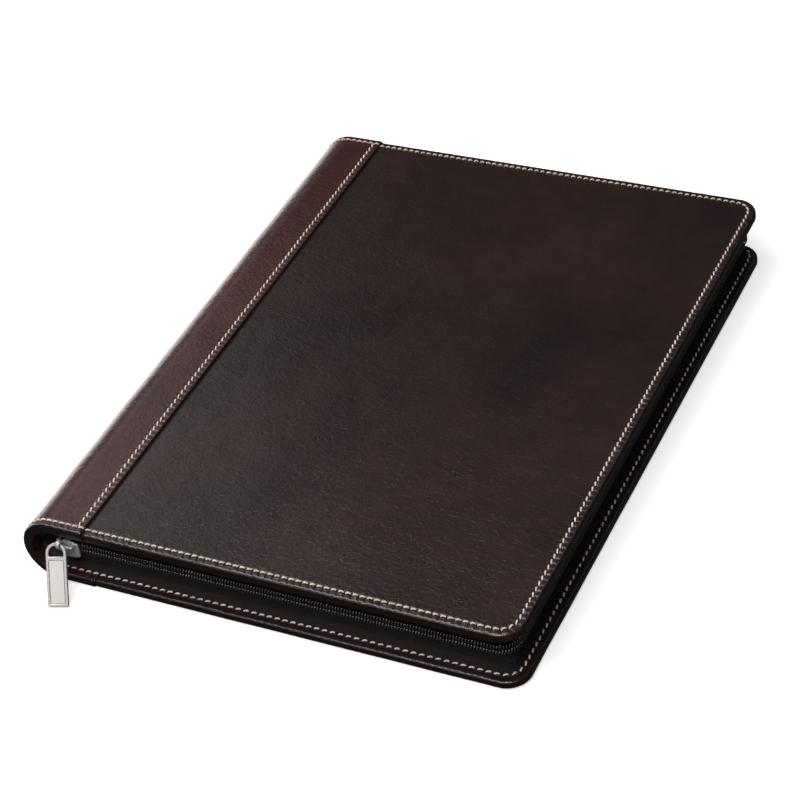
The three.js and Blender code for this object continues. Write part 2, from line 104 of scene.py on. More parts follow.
RIGHT = front_high[0]
EDGE_Y = front_high[1]
HEIGHT = spine_high[2]
FRONT_TOP = front_high[2]
COVER = front_high[2] - front_low[2]
SPINE_R = HEIGHT / 2
SPINE_X = shell_low[0] + SPINE_R
OVERLAY_X = spine_high[0]
CHAIN_Z = (lower_coil_high[2] + upper_coil_low[2]) / 2
CHAIN_INSET = EDGE_Y + lower_coil_low[1]
ZIP_END_X = stop_low[0]

# ---- sizes of the looks ----
CORNER = 12  # corner radius of the covers
CHAIN_CENTRE = 15  # how far in the zip's corners have their centre
SEAM_INSET = 3.9  # stitch line from the covers' edges
SEAM_BACK = 3.3  # stitch line from the spine leather's edge
STITCH = 3.6
FOOT_STITCH = 4.1
SAMPLES = 6  # rows of mesh for each stitch
RIM_TOP = 1.3  # radius of the rim's upper corner
RIM_SIDE = 1.0
HEM = 14
BACK_LIFT = 0.4  # the back panel stands that far above the spine leather's outer face
OVERLAY_OUT = 0.3  # the spine leather's ends stand that far out past the panels
COIL_PITCH = 1.5
LEATHER = 0.9


def srgb(code):
    """Linear colour of a hexadecimal sRGB code."""
    parts = [((code >> shift) & 255) / 255 for shift in (16, 8, 0)]
    return tuple(p / 12.92 if p <= 0.04045 else ((p + 0.055) / 1.055) ** 2.4 for p in parts) + (1.0,)


# ---- materials ----
class Finish:
    """A node material around one Principled shader."""

    def __init__(self, name, color, roughness, **sockets):
        self.material = bpy.data.materials.new(name)
        self.material.use_nodes = True
        self.tree = self.material.node_tree
        self.shader = self.tree.nodes["Principled BSDF"]
        self.shader.inputs["Base Color"].default_value = srgb(color)
        self.shader.inputs["Roughness"].default_value = roughness
        for socket, value in sockets.items():
            self.shader.inputs[socket.replace("_", " ")].default_value = value
        self.height = None

    def node(self, kind, inputs=None, **settings):
        made = self.tree.nodes.new(kind)
        for key, value in settings.items():
            setattr(made, key, value)
        for key, value in (inputs or {}).items():
            if isinstance(value, bpy.types.NodeSocket):
                self.tree.links.new(value, made.inputs[key])
            else:
                made.inputs[key].default_value = value
        return made

    def axis_split(self, where):
        """The X, Y and Z of a place or a direction."""
        return self.node("ShaderNodeSeparateXYZ", {0: where}).outputs

    def place(self, scale=(1, 1, 1), turn=0):
        """The piece's own coordinates, scaled, in metres."""
        where = self.node("ShaderNodeTexCoord").outputs["Object"]
        return self.node(
            "ShaderNodeMapping", {"Vector": where, "Scale": scale, "Rotation": (0, 0, turn)}
        ).outputs[0]

    def attribute(self, name):
        return self.node("ShaderNodeAttribute", attribute_name=name).outputs["Fac"]

    def math(self, operation, a, b=0.0, clamp=False):
        return self.node("ShaderNodeMath", {0: a, 1: b}, operation=operation, use_clamp=clamp).outputs[0]

    def plus(self, a, b, clamp=False):
        return self.math("ADD", a, b, clamp)

    def times(self, a, b):
        return self.math("MULTIPLY", a, b)

    def wave(self, value, period):
        return self.math("SINE", self.times(value, 2 * math.pi / period))

    def noise(self, where, scale, detail, rough, distortion=0.0):
        settings = {"Scale": scale, "Detail": detail, "Roughness": rough, "Distortion": distortion}
        return self.node("ShaderNodeTexNoise", {"Vector": where, **settings}).outputs[0]

    def cells(self, where, scale):
        inputs = {"Vector": where, "Scale": scale}
        return self.node("ShaderNodeTexVoronoi", inputs, feature="SMOOTH_F1").outputs["Distance"]

    def span(self, value, low, high, to_low=0.0, to_high=1.0):
        limits = {"Value": value, "From Min": low, "From Max": high, "To Min": to_low, "To Max": to_high}
        return self.node("ShaderNodeMapRange", limits).outputs[0]

    def mix(self, share, a, b):
        """Blends two colours, each a socket or an sRGB code."""
        a, b = (srgb(tone) if isinstance(tone, int) else tone for tone in (a, b))
        return self.node("ShaderNodeMix", {0: share, 6: a, 7: b}, data_type="RGBA").outputs[2]

    def feed(self, name, socket):
        """Links a socket into one of the shader's own."""
        self.tree.links.new(socket, self.shader.inputs[name])

    def color(self, socket):
        self.feed("Base Color", socket)

    def roughness(self, socket):
        self.feed("Roughness", socket)

    def bump(self, height, distance_mm, strength):
        inputs = {"Height": height, "Distance": distance_mm * MM, "Strength": strength}
        if self.height is not None:
            inputs["Normal"] = self.height
        self.height = self.node("ShaderNodeBump", inputs).outputs[0]
        self.feed("Normal", self.height)
        self.feed("Coat Normal", self.height)


def leather(name, dark, light, tint, roughness, grain=1.0, coat=0.6, seam_shadow_x=None):
    """Smooth dyed hide: clouded dye, painted shade on the outermost edge faces, fine pores, faint creases, a
    thin glaze.

    seam_shadow_x gives two places in X, in millimetres, between which a painted shadow beside the overlay's
    raised edge fades out; in the shadow the leather is near-black, rougher and unglazed.
    """
    glaze = {"Coat_Weight": coat, "Coat_Roughness": 0.18, "Coat_IOR": 1.8}
    made = Finish(name, dark, roughness, Specular_IOR_Level=0.2, **glaze)
    where = made.place()
    clouds = made.span(made.noise(where, 9, 5, 0.6, 0.4), 0.35, 0.68)
    specks = made.span(made.noise(where, 90, 4, 0.65), 0.3, 0.75)
    base = made.mix(clouds, dark, light)
    base = made.mix(made.times(specks, 0.35), base, tint)
    wear = made.noise(where, 26, 5, 0.6)
    gloss = made.span(wear, 0.3, 0.75, roughness - 0.07, roughness + 0.09)
    spot = made.axis_split(where)
    # Painted shade: the outermost millimetre at both ends and along the long free edge, on the rims' side
    # faces, is coloured near-black.
    past_end = made.span(made.math("ABSOLUTE", spot["Y"]), (EDGE_Y - 1.2) * MM, (EDGE_Y - 0.3) * MM)
    past_side = made.span(spot["X"], (RIGHT - 1.2) * MM, (RIGHT - 0.3) * MM)
    painted = made.times(made.math("MAXIMUM", past_end, past_side), 0.8)
    base = made.mix(painted, base, 0x0C0606)
    if seam_shadow_x:
        # Painted shadow cast by the overlay's raised edge: up to these places in X the panel is near-black,
        # rougher and without glaze.
        past_seam_shadow = made.span(spot["X"], seam_shadow_x[0] * MM, seam_shadow_x[1] * MM)
        base = made.mix(past_seam_shadow, 0x040202, base)
        gloss = made.plus(gloss, made.span(past_seam_shadow, 0, 1, 0.4, 0))
        made.feed("Coat Weight", made.times(past_seam_shadow, coat))
    made.color(base)
    made.roughness(gloss)
    creases = made.noise(made.place((34, 90, 60), 0.5), 1.0, 6, 0.62, 0.8)
    made.bump(creases, 0.55, 0.5 * grain)
    pebbles = made.noise(made.place((1, 1.5, 1), 0.6), 420, 4, 0.6, 0.6)
    made.bump(pebbles, 0.3, 0.7 * grain)
    pores = made.cells(made.place(), 1400)
    made.bump(pores, 0.07, 0.5 * grain)
    return made.material


def woven_tape():
    """Twill tape: slanting ribs crossed by fine yarns, with a faint step every few millimetres."""
    made = Finish("zip_tape_weave", 0x0B090A, 0.7, Specular_IOR_Level=0.3)
    along, across = made.attribute("along"), made.attribute("across")
    column = made.math("PINGPONG", across, 7.0)
    slanted = made.plus(along, made.times(column, 1.15))
    ribs = made.wave(slanted, 1.35)
    yarns = made.wave(across, 0.6)
    height = made.plus(ribs, made.times(yarns, 0.3))
    fuzz = made.noise(made.place(), 900, 3, 0.7)
    # Painted highlight: the tops of the ribs are coloured lighter where light catches them; the fuzz adds
    # random tone.
    shade = made.plus(made.span(height, 0.3, 1.25, -0.1, 0.9), made.times(fuzz, 0.2), True)
    made.color(made.mix(shade, 0x010101, 0x4A4344))
    made.bump(made.plus(height, fuzz), 0.25, 0.9)
    return made.material


def cloth(name, dark, light):
    """Plain-woven lining, two threads to the millimetre."""
    made = Finish(name, dark, 0.82, Sheen_Weight=0.15, Sheen_Roughness=0.45)
    where = made.axis_split(made.place())
    weave = made.times(made.wave(where["X"], MM), made.wave(where["Y"], MM))
    clouds = made.noise(made.place(), 40, 4, 0.6)
    made.color(made.mix(made.plus(made.span(weave, -1, 1, 0, 0.6), clouds), dark, light))
    made.bump(weave, 0.1, 0.6)
    made.bump(clouds, 0.6, 0.2)
    return made.material


def thread(name="cream_thread", dark=0xC4B2A0, light=0xFFF9F0):
    """Twisted sewing thread, with painted shade darkening the lay between its plies."""
    made = Finish(name, light, 0.5, Sheen_Weight=0.4)
    twist = made.plus(made.attribute("along"), made.times(made.attribute("across"), 0.45))
    plies = made.wave(twist, 0.9)
    grime = made.noise(made.place(), 240, 4, 0.65)
    # Painted shade in the lay between the plies; the grime noise adds random tone.
    shade = made.plus(made.span(plies, -1, 1, 0.0, 0.75), made.span(grime, 0.3, 0.7, -0.25, 0.4), True)
    made.color(made.mix(shade, dark, light))
    made.bump(plies, 0.07, 0.7)
    return made.material


def nylon_coil():
    made = Finish("nylon_coil", 0x0B0A0B, 0.3, Coat_Weight=1.0, Coat_Roughness=0.12, Coat_IOR=2.2)
    # Painted highlights: the crest attribute colours the coil's outer bends light grey, broken up by fine
    # noise that also varies roughness and bump.
    dust_and_glint_breakup = made.noise(made.place(), 1400, 3, 0.6)
    surface_mix = made.times(made.attribute("crest"), made.span(dust_and_glint_breakup, 0.2, 0.8, 0.6, 1.0))
    made.color(made.mix(surface_mix, 0x020202, 0x9C9494))
    made.roughness(made.span(dust_and_glint_breakup, 0.2, 0.8, 0.22, 0.4))
    made.bump(dust_and_glint_breakup, 0.02, 0.5)
    return made.material


def plated_metal():
    """Bright nickel with fine rub lines and a little cloud."""
    made = Finish("bright_nickel", 0xC4C2BE, 0.22, Metallic=0.45)
    lines = made.noise(made.place((300, 300, 5200)), 1.0, 3, 0.6)
    clouds = made.noise(made.place(), 320, 4, 0.6)
    made.color(made.mix(clouds, 0xB2B4B1, 0xDCDEDB))
    surface_mix = made.plus(clouds, made.times(lines, 0.5))
    made.roughness(made.span(surface_mix, 0.4, 1.1, 0.16, 0.34))
    made.bump(lines, 0.02, 0.25)
    return made.material


def satin_inlay():
    made = Finish("satin_inlay", 0xE4DFD7, 0.42, Coat_Weight=0.3, Coat_Roughness=0.3)
    brushed = made.noise(made.place((900, 900, 5200)), 1.0, 4, 0.65)
    made.color(made.mix(brushed, 0xDDDDD5, 0xEFF0EA))
    made.roughness(made.span(brushed, 0.25, 0.75, 0.36, 0.5))
    made.bump(brushed, 0.03, 0.3)
    return made.material


def grey_board():
    made = Finish("pressed_board", 0x8B867C, 0.92)
    fibres = made.noise(made.place((120, 700, 400), 0.4), 1.0, 6, 0.7, 0.6)
    made.color(made.mix(fibres, 0x777268, 0xA29D92))
    made.bump(fibres, 0.15, 0.5)
    return made.material


def paper():
    """Writing paper with faint ruled lines; the block's sides show its sheets."""
    made = Finish("ruled_paper", 0xF2EEE1, 0.85)
    where = made.axis_split(made.place())
    tooth = made.noise(made.place(), 1800, 3, 0.6)
    ruling = made.math("PINGPONG", where["Y"], 4 * MM)
    line = made.math("LESS_THAN", ruling, 0.14 * MM)
    sheet = made.mix(tooth, 0xEDE8DA, 0xF6F3E9)
    lined = made.mix(made.times(line, 0.55), sheet, 0x9FB0BE)
    facing = made.axis_split(made.node("ShaderNodeNewGeometry").outputs["True Normal"])
    flat = made.math("GREATER_THAN", made.math("ABSOLUTE", facing["Z"]), 0.8)
    layers = made.wave(where["Z"], 0.22 * MM)
    side = made.mix(made.span(layers, -1, 1), 0xCFC9BA, 0xF4F0E4)
    made.color(made.mix(flat, side, lined))
    made.bump(made.plus(layers, tooth), 0.05, 0.5)
    return made.material


def elastic_band():
    made = Finish("ribbed_elastic", 0x171617, 0.85, Sheen_Weight=0.2)
    ribs = made.wave(made.attribute("along"), 1.1)
    yarns = made.wave(made.attribute("across"), 0.6)
    weave = made.plus(ribs, made.times(yarns, 0.4))
    made.color(made.mix(made.span(weave, -1.4, 1.4), 0x0C0B0C, 0x2A2829))
    made.bump(weave, 0.2, 0.8)
    return made.material


panel_leather = leather("panel_leather", 0x1E1413, 0x322222, 0x110A0A, 0.42,
                        seam_shadow_x=(OVERLAY_X + 1.2, OVERLAY_X + 2.2))
spine_leather = leather("spine_leather", 0x351D1C, 0x482826, 0x201112, 0.38)
pocket_leather = leather("pocket_leather", 0x1E1716, 0x2A211F, 0x120D0C, 0.55, 1.3, 0.2)
tape_weave = woven_tape()
lining_cloth = cloth("lining_cloth", 0x171415, 0x292425)
cream_thread = thread()
dark_thread = thread("dark_thread", 0x0C0A0A, 0x2A2626)
coil_nylon = nylon_coil()
nickel = plated_metal()
inlay_satin = satin_inlay()
board_grey = grey_board()
ruled_paper = paper()
elastic = elastic_band()


# ---- making pieces ----
def put_in_scene(name, data):
    made = bpy.data.objects.new(name, data)
    bpy.context.scene.collection.objects.link(made)
    return made


def build(name, points, faces, material, along=None, across=None, crest=None):
    """A smooth mesh object from points in millimetres."""
    mesh = bpy.data.meshes.new(name)
    points = np.asarray(points, float).reshape(-1, 3)
    mesh.from_pydata((points * MM).tolist(), [], [list(map(int, f)) for f in faces])
    for key, values in (("along", along), ("across", across), ("crest", crest)):
        if values is not None:
            layer = mesh.attributes.new(key, "FLOAT", "POINT")
            layer.data.foreach_set("value", np.asarray(values, np.float32).ravel())
    mesh.shade_smooth()
    mesh.materials.append(material)
    return put_in_scene(name, mesh)


def tidy(piece, sharp_degrees=None):
    """Joins points that lie on each other and turns every face outwards."""
    shape = bmesh.new()
    shape.from_mesh(piece.data)
    bmesh.ops.remove_doubles(shape, verts=shape.verts, dist=0.002 * MM)
    bmesh.ops.recalc_face_normals(shape, faces=shape.faces)
    shape.to_mesh(piece.data)
    shape.free()
    if sharp_degrees:
        piece.data.set_sharp_from_angle(angle=math.radians(sharp_degrees))
    return piece


def grid_faces(rows, columns, close_rows=False, close_columns=False, start=0):
    row = np.arange(rows if close_rows else rows - 1)
    column = np.arange(columns if close_columns else columns - 1)
    a, b = np.meshgrid(row, column, indexing="ij")
    a2, b2 = (a + 1) % rows, (b + 1) % columns
    quads = np.stack([a * columns + b, a * columns + b2, a2 * columns + b2, a2 * columns + b], -1)
    return (quads.reshape(-1, 4) + start).tolist()


def tube_faces(rings, sides, start=0):
    """A tube's faces, with a cap on both ends."""
    last = start + (rings - 1) * sides
    caps = [list(range(start, start + sides)), list(range(last, last + sides))[::-1]]
    return grid_faces(rings, sides, close_columns=True, start=start) + caps


def thicken(piece, thickness, offset=-1.0):
    """Gives a sheet its thickness."""
    made = piece.modifiers.new("thickness", "SOLIDIFY")
    made.thickness = thickness * MM
    made.offset = offset
    made.use_even_offset = False
    return piece


def settle(piece, body, slot, *replaced, bends_to=None, fold=None):
    """Puts a piece on its CAD body; a piece across the fold between two bodies only has its placing baked
    into its mesh. Either way, hides the CAD nodes it replaces.
    """
    if bends_to:
        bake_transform(piece)
    else:
        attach(piece, body)
    if replaced:
        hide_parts(*replaced)
    return piece


def cloud(x, y, scale, seed):
    """Smooth repeatable unevenness between about -1 and 1."""
    pairs = np.broadcast(x, y)
    return np.reshape([noise.noise(Vector((a * scale, b * scale, seed))) for a, b in pairs], pairs.shape)


def heading(angle):
    """Directions at those angles, in a plane."""
    return np.stack([np.cos(angle), np.sin(angle)], -1)


def full_turn(steps):
    return 2 * math.pi * np.arange(steps) / steps


# ---- the three free edges ----
class EdgeWalk:
    """Rows across the covers' three free edges, evenly spaced along a line inset from the edge.

    The walk goes from the spine along the front edge, up the long edge and back along the far edge.
    """

    def __init__(self, left, inset, corner, step):
        self.left = left
        bend = (corner - inset) * math.pi / 2
        side = RIGHT - corner - left
        legs = np.array([side, bend, 2 * (EDGE_Y - corner), bend, side])
        ends = np.concatenate([[0], np.cumsum(legs)])
        self.length = ends[-1]
        self.walked = np.linspace(0, self.length, round(self.length / step) + 1)
        self.leg = np.clip(np.searchsorted(ends, self.walked, side="right") - 1, 0, 4)
        self.share = (self.walked - ends[self.leg]) / legs[self.leg]
        turn = np.select([self.leg == 1, self.leg == 3], [self.share - 1, self.share], 0.0)
        flat = np.select([self.leg == 0, self.leg == 4], [-1.0, 1.0], 0.0)
        angle = (turn + flat) * math.pi / 2
        self.out = heading(angle)

    def at(self, inset, corner=CORNER):
        """Points at that inset, where the corners turn about a centre that far in from both edges."""
        x, y = RIGHT - corner, EDGE_Y - corner
        away = np.select([self.leg == 0, self.leg == 4], [1 - self.share, self.share], 0.0)
        climb = np.select([self.leg <= 1, self.leg >= 3], [-1.0, 1.0], 2 * self.share - 1)
        centre = np.stack([x - (x - self.left) * away, y * climb], -1)
        return centre + self.out * (corner - inset)


def even_pitch(left, pitch):
    """The pitch nearest the one given that divides the stitch line along the three free edges."""
    length = EdgeWalk(left, SEAM_INSET, CORNER, 1).length
    return length / round(length / pitch)


def hole_depth(walked, pitch):
    """1 at the needle holes between stitches, fading to 0 along each stitch."""
    off = np.abs((np.asarray(walked) / pitch + 0.5) % 1 - 0.5) * pitch
    return np.exp(-((off / 0.55) ** 2))


def pucker(inset, hole, line=SEAM_INSET):
    """Depth of the sewn groove and of the soft puckers beside it."""
    groove = (0.3 + 0.5 * hole) * np.exp(-(((inset - line) / 0.65) ** 2))
    ripple = (0.34 * hole - 0.14) * np.exp(-(((inset - line) / 1.7) ** 2))
    drawn_in = 0.3 * hole * np.exp(-(((inset - line + 2.0) / 1.1) ** 2))
    return groove + ripple + drawn_in


HEM_POINTS = 9  # the profile's last points, on the inside


def rim_profile(thick):
    """(inset, depth) pairs: over the stitch line, round the edge and back along the hem."""
    face = np.concatenate([[12, 9.5, 7.5, 6.3], np.arange(5.6, 2.2, -0.3), [1.9]])
    points = [(i, 0.0) for i in face]
    for angle in np.radians(np.linspace(0, 90, 7)):
        points.append((RIM_TOP * (1 - math.sin(angle)), RIM_TOP * (1 - math.cos(angle))))
    points.append((0.0, thick / 2))
    for angle in np.radians(np.linspace(0, 90, 6)):
        reach = RIM_SIDE * (1 - math.cos(angle))
        points.append((reach, thick - RIM_SIDE + RIM_SIDE * math.sin(angle)))
    points += [(i, thick) for i in (2.2, 3.2, 3.9, 4.6, 6.5, 10, HEM - 0.4)]
    points += [(HEM, thick - 0.25), (HEM, thick - 0.9)]
    return np.array(points)


# ---- leather panels ----
def panel(name, outer_z, inward, thick, seed):
    """A leather-covered cover: sewn and puckered near its edge, hemmed inside, closed at the spine."""
    left = OVERLAY_X - 2.5
    pitch = even_pitch(left, STITCH)
    walk = EdgeWalk(left, SEAM_INSET, CORNER, pitch / SAMPLES)
    profile = rim_profile(thick)
    hole = hole_depth(walk.walked, pitch)
    wave = cloud(walk.walked, 0, 0.035, seed)
    rows, columns = len(walk.walked), len(profile)
    points = np.zeros((rows, columns, 3))
    for c, (inset, depth) in enumerate(profile):
        points[:, c, :2] = walk.at(inset)
        sunk = np.full(rows, depth)
        if c < len(profile) - HEM_POINTS:
            lumps = cloud(walk.walked, inset * 0.9, 0.45, seed + 5)
            sunk += pucker(inset, hole) + 0.25 * lumps * math.exp(-(((inset - 2.4) / 2.2) ** 2))
        side = 0.12 * wave * np.exp(-((inset / 2.5) ** 2))
        points[:, c, :2] -= walk.out * side[:, None]
        points[:, c, 2] = outer_z + inward * sunk
    faces = grid_faces(rows, columns)
    made = [points.reshape(-1, 3)]

    front = [r for r in range(rows) if walk.leg[r] == 0]
    right = [r for r in range(rows) if walk.leg[r] == 2]
    corner = front[-1] + 1
    far_corner = rows - 1 - corner
    along_front = front + [corner]
    along_back = [rows - 1 - r for r in along_front]
    along_right = [corner] + right + [far_corner]
    every = 5
    cuts_x = sorted(set(range(0, len(along_front) - 1, every)) | {len(along_front) - 1})
    cuts_y = sorted(set(range(0, len(along_right) - 1, every)) | {len(along_right) - 1})
    if len(cuts_x) > 2 and cuts_x[-1] - cuts_x[-2] < 3:
        cuts_x.pop(-2)
    if cuts_y[-1] - cuts_y[-2] < 3:
        cuts_y.pop(-2)
    nx, ny = len(cuts_x), len(cuts_y)
    index = np.zeros((nx, ny), int)
    extra = []
    for i, cut_x in enumerate(cuts_x):
        for j, cut_y in enumerate(cuts_y):
            if j == 0:
                index[i, j] = along_front[cut_x] * columns
            elif j == ny - 1:
                index[i, j] = along_back[cut_x] * columns
            elif i == nx - 1:
                index[i, j] = along_right[cut_y] * columns
            else:
                x = points[along_front[cut_x], 0, 0]
                y = points[along_right[cut_y], 0, 1]
                index[i, j] = rows * columns + len(extra)
                extra.append((x, y, outer_z))
    inner = np.array(extra)
    fade = np.minimum(1, np.minimum(RIGHT - inner[:, 0], EDGE_Y - np.abs(inner[:, 1])) / 30)
    swell = 0.22 * cloud(inner[:, 0], inner[:, 1] * 0.6, 0.03, seed + 3)
    swell += 0.1 * cloud(inner[:, 0], inner[:, 1], 0.09, seed + 7)
    inner[:, 2] += inward * fade * swell
    made.append(inner)
    for i in range(nx - 1):
        for j in range(ny - 1):
            loop = [index[i, j]]
            if j == 0:
                loop += [r * columns for r in along_front[cuts_x[i] + 1 : cuts_x[i + 1]]]
            loop.append(index[i + 1, j])
            if i == nx - 2:
                loop += [r * columns for r in along_right[cuts_y[j] + 1 : cuts_y[j + 1]]]
            loop.append(index[i + 1, j + 1])
            if j == ny - 2:
                loop += [r * columns for r in along_back[cuts_x[i] + 1 : cuts_x[i + 1]][::-1]]
            loop.append(index[i, j + 1])
            faces.append(loop)
    faces.append([r * columns + columns - 1 for r in range(rows)])
    first = list(range(columns))
    last = [(rows - 1) * columns + c for c in range(columns)]
    faces.append(first[::-1] + [index[0, j] for j in range(1, ny - 1)] + last)
    return tidy(build(name, np.concatenate(made), faces, panel_leather))


# ---- stitches ----
THREAD_R = 0.48
STITCH_SLANT = 0.34  # how far each end of a stitch stands off its line


def stitch_run(name, points, normals, material=cream_thread, radius=THREAD_R, lift=0.34):
    """One stitch between each pair of neighbouring holes, dipping into both."""
    points, normals = np.asarray(points, float), np.asarray(normals, float)
    start, end = points[:-1], points[1:]
    up = normals[:-1] + normals[1:]
    up /= np.linalg.norm(up, axis=1)[:, None]
    ahead = end - start
    ahead /= np.linalg.norm(ahead, axis=1)[:, None]
    side = np.cross(up, ahead)
    rings, sides = 9, 8
    share = np.linspace(0, 1, rings)
    rise = lift - 0.85 * (1 - np.sin(math.pi * share) ** 0.45)
    girth = radius * (0.62 + 0.38 * np.sin(math.pi * share) ** 0.5)
    reach = 0.15 + 0.7 * share
    angle = full_turn(sides)
    centre = start[:, None] + (end - start)[:, None] * reach[:, None]
    centre = centre + up[:, None] * rise[:, None]
    centre = centre + side[:, None] * (STITCH_SLANT * (2 * share - 1))[:, None]
    across = side[:, None, None] * (np.cos(angle)[:, None] * girth[:, None, None])
    above = up[:, None, None] * (np.sin(angle)[:, None] * girth[:, None, None] * 0.8)
    shape = centre[:, :, None] + across + above
    count = len(start)
    faces = []
    for s in range(count):
        faces += tube_faces(rings, sides, s * rings * sides)
    long = np.linalg.norm(end - start, axis=1)[:, None, None]
    run = np.broadcast_to(long * share[:, None], (count, rings, sides))
    wrap = np.broadcast_to(angle * radius, (count, rings, sides))
    return build(name, shape, faces, material, run, wrap)


def edge_stitches(name, left, pitch, z, up, **look):
    """Stitches along the three free edges."""
    walk = EdgeWalk(left, SEAM_INSET, CORNER, even_pitch(left, pitch))
    flat = walk.at(SEAM_INSET)
    points = np.column_stack([flat, np.full(len(flat), z)])
    return stitch_run(name, points, np.tile([0, 0, up], (len(flat), 1)), **look)


def line_stitches(name, start, end, up, pitch, **look):
    """Stitches along a straight line."""
    start, end = np.array(start, float), np.array(end, float)
    count = round(np.linalg.norm(end - start) / pitch)
    points = start + (end - start) * np.linspace(0, 1, count + 1)[:, None]
    return stitch_run(name, points, np.tile(up, (count + 1, 1)), **look)


# ---- spine leather: one hide, made as two halves that meet half way round the spine ----
def spine_section(step, edge_x):
    """Half the spine's section, from the leather's edge over the flat tongue and round to the middle.

    Gives points in X and Z for the upper half, the direction into the case, and the distance walked.
    """
    tongue = edge_x - SPINE_X
    total = tongue + SPINE_R * math.pi / 2
    walked = np.linspace(0, total, round(total / step) + 1)
    angle = np.clip((walked - tongue) / SPINE_R, 0, None) + math.pi / 2
    x = np.where(walked < tongue, edge_x - walked, SPINE_X + SPINE_R * np.cos(angle))
    z = np.where(walked < tongue, HEIGHT, SPINE_R + SPINE_R * np.sin(angle))
    inward = np.where(walked[:, None] < tongue, [0.0, -1.0], -heading(angle))
    return np.stack([x, z], -1), inward, walked


SPINE_STITCHES = 13  # across each half of the spine
spine_half = OVERLAY_X - SPINE_X + SPINE_R * math.pi / 2
SPINE_PITCH = spine_half / SPINE_STITCHES
SEAM_COUNT = round(2 * (EDGE_Y - SEAM_INSET) / STITCH)
SEAM_PITCH = 2 * (EDGE_Y - SEAM_INSET) / SEAM_COUNT


def spine_rows(thick):
    """(y, depth, inset from the nearer end) for every row, from one hem round to the other."""
    profile = rim_profile(thick)[2:]
    end = EDGE_Y + OVERLAY_OUT
    near = [(-(end - i), d, i) for i, d in profile[::-1]]
    far = [(end - i, d, i) for i, d in profile]
    start, stop = near[-1][0], far[0][0]
    middle = np.arange(-SEAM_COUNT * SAMPLES / 2, SEAM_COUNT * SAMPLES / 2 + 1) * SEAM_PITCH / SAMPLES
    middle = [(y, 0.0, 99.0) for y in middle if start + 0.3 < y < stop - 0.3]
    return np.array(near + middle + far)


def spine_leather_half(name, upper):
    """Half of the spine leather, from its sewn edge on a cover to half way round the spine.

    Its last rows are tucked under the other half, so that no line shows between them.
    """
    raised = 0.9 if upper else BACK_LIFT
    thick = HEIGHT - front_low[2] if upper else COVER
    section, inward, walked = spine_section(SPINE_PITCH / SAMPLES, OVERLAY_X)
    bend = np.radians([0, 30, 60])
    lead = np.stack([OVERLAY_X + 0 * bend, 2 * SPINE_R - raised * (1 - np.sin(bend))], -1)
    section[0] = (OVERLAY_X - 0.35, 2 * SPINE_R - 0.03)
    section = np.concatenate([lead, section])
    inward = np.concatenate([np.tile([0.0, -1.0], (3, 1)), inward])
    walked = np.concatenate([[-0.5, -0.35, -0.15], walked])
    tuck, sink = np.array([0.5, 1.0, 1.6]), np.array([0.03, 0.14, 0.3])
    turned = math.pi + tuck / SPINE_R
    away = heading(turned)
    tucked = np.array([SPINE_X, SPINE_R]) + away * (SPINE_R - sink)[:, None]
    section = np.concatenate([section, tucked])
    inward = np.concatenate([inward, -away])
    drawn = np.concatenate([0 * walked, sink]) / EDGE_Y
    walked = np.concatenate([walked, spine_half + tuck])
    rows = spine_rows(thick)
    y, depth, inset = rows[:, 0][:, None], rows[:, 1][:, None], rows[:, 2][:, None]
    on_face = (depth < RIM_TOP) & (inset > 0.2)
    end_groove = np.where(on_face, pucker(inset, hole_depth(walked, SPINE_PITCH)[None, :]), 0)
    seam_hole = hole_depth(np.abs(y) + SEAM_PITCH / 2 * (SEAM_COUNT % 2), SEAM_PITCH)
    seam_groove = pucker(walked[None, :], seam_hole, SEAM_BACK) * np.clip(depth < 0.1, 0, 1)
    seam_groove = seam_groove * np.clip((inset - 2) / 2, 0, 1)
    wave = 0.18 * cloud(y, walked, 0.05, 4.0 + upper) * np.clip(walked / 12, 0, 1)
    wave = wave * np.clip((spine_half - walked) / 6, 0, 1)
    lumps = 0.2 * cloud(walked, inset * 0.9, 0.45, 9.0 + upper)
    lumps = lumps * np.exp(-(((inset - 2.4) / 2.2) ** 2)) * on_face
    sunk = depth + end_groove + seam_groove + wave + lumps
    points = np.zeros((len(rows), len(walked), 3))
    points[:, :, 0] = section[:, 0] + inward[:, 0] * sunk
    points[:, :, 1] = y * (1 - drawn)
    points[:, :, 2] = section[:, 1] + inward[:, 1] * sunk
    faces = grid_faces(len(rows), len(walked))
    if upper:
        faces = [f[::-1] for f in faces]
    else:
        points[:, :, 2] = 2 * SPINE_R - points[:, :, 2]
    return thicken(build(name, points, faces, spine_leather), LEATHER)


def fold_span(upper, before, after):
    """Two points either side of a fold line, on the tangent of the spine's outer face there."""
    sign = 1 if upper else -1
    fold = np.array([SPINE_X, 0, SPINE_R]) + SPINE_R * math.sqrt(0.5) * np.array([-1, 0, sign])
    towards_cover = np.array([math.sqrt(0.5), 0, sign * math.sqrt(0.5)])
    return (fold - towards_cover * before) * MM, (fold + towards_cover * after) * MM


def fold_settle(piece, upper, slot, *replaced):
    """A piece that reaches from a cover to half way round the spine."""
    on_spine, on_cover = fold_span(upper, 3.5, 11)
    if upper:
        return settle(piece, "spine", slot, *replaced, bends_to="front_cover", fold=(on_spine, on_cover))
    return settle(piece, "back_cover", slot, *replaced, bends_to="spine", fold=(on_cover, on_spine))


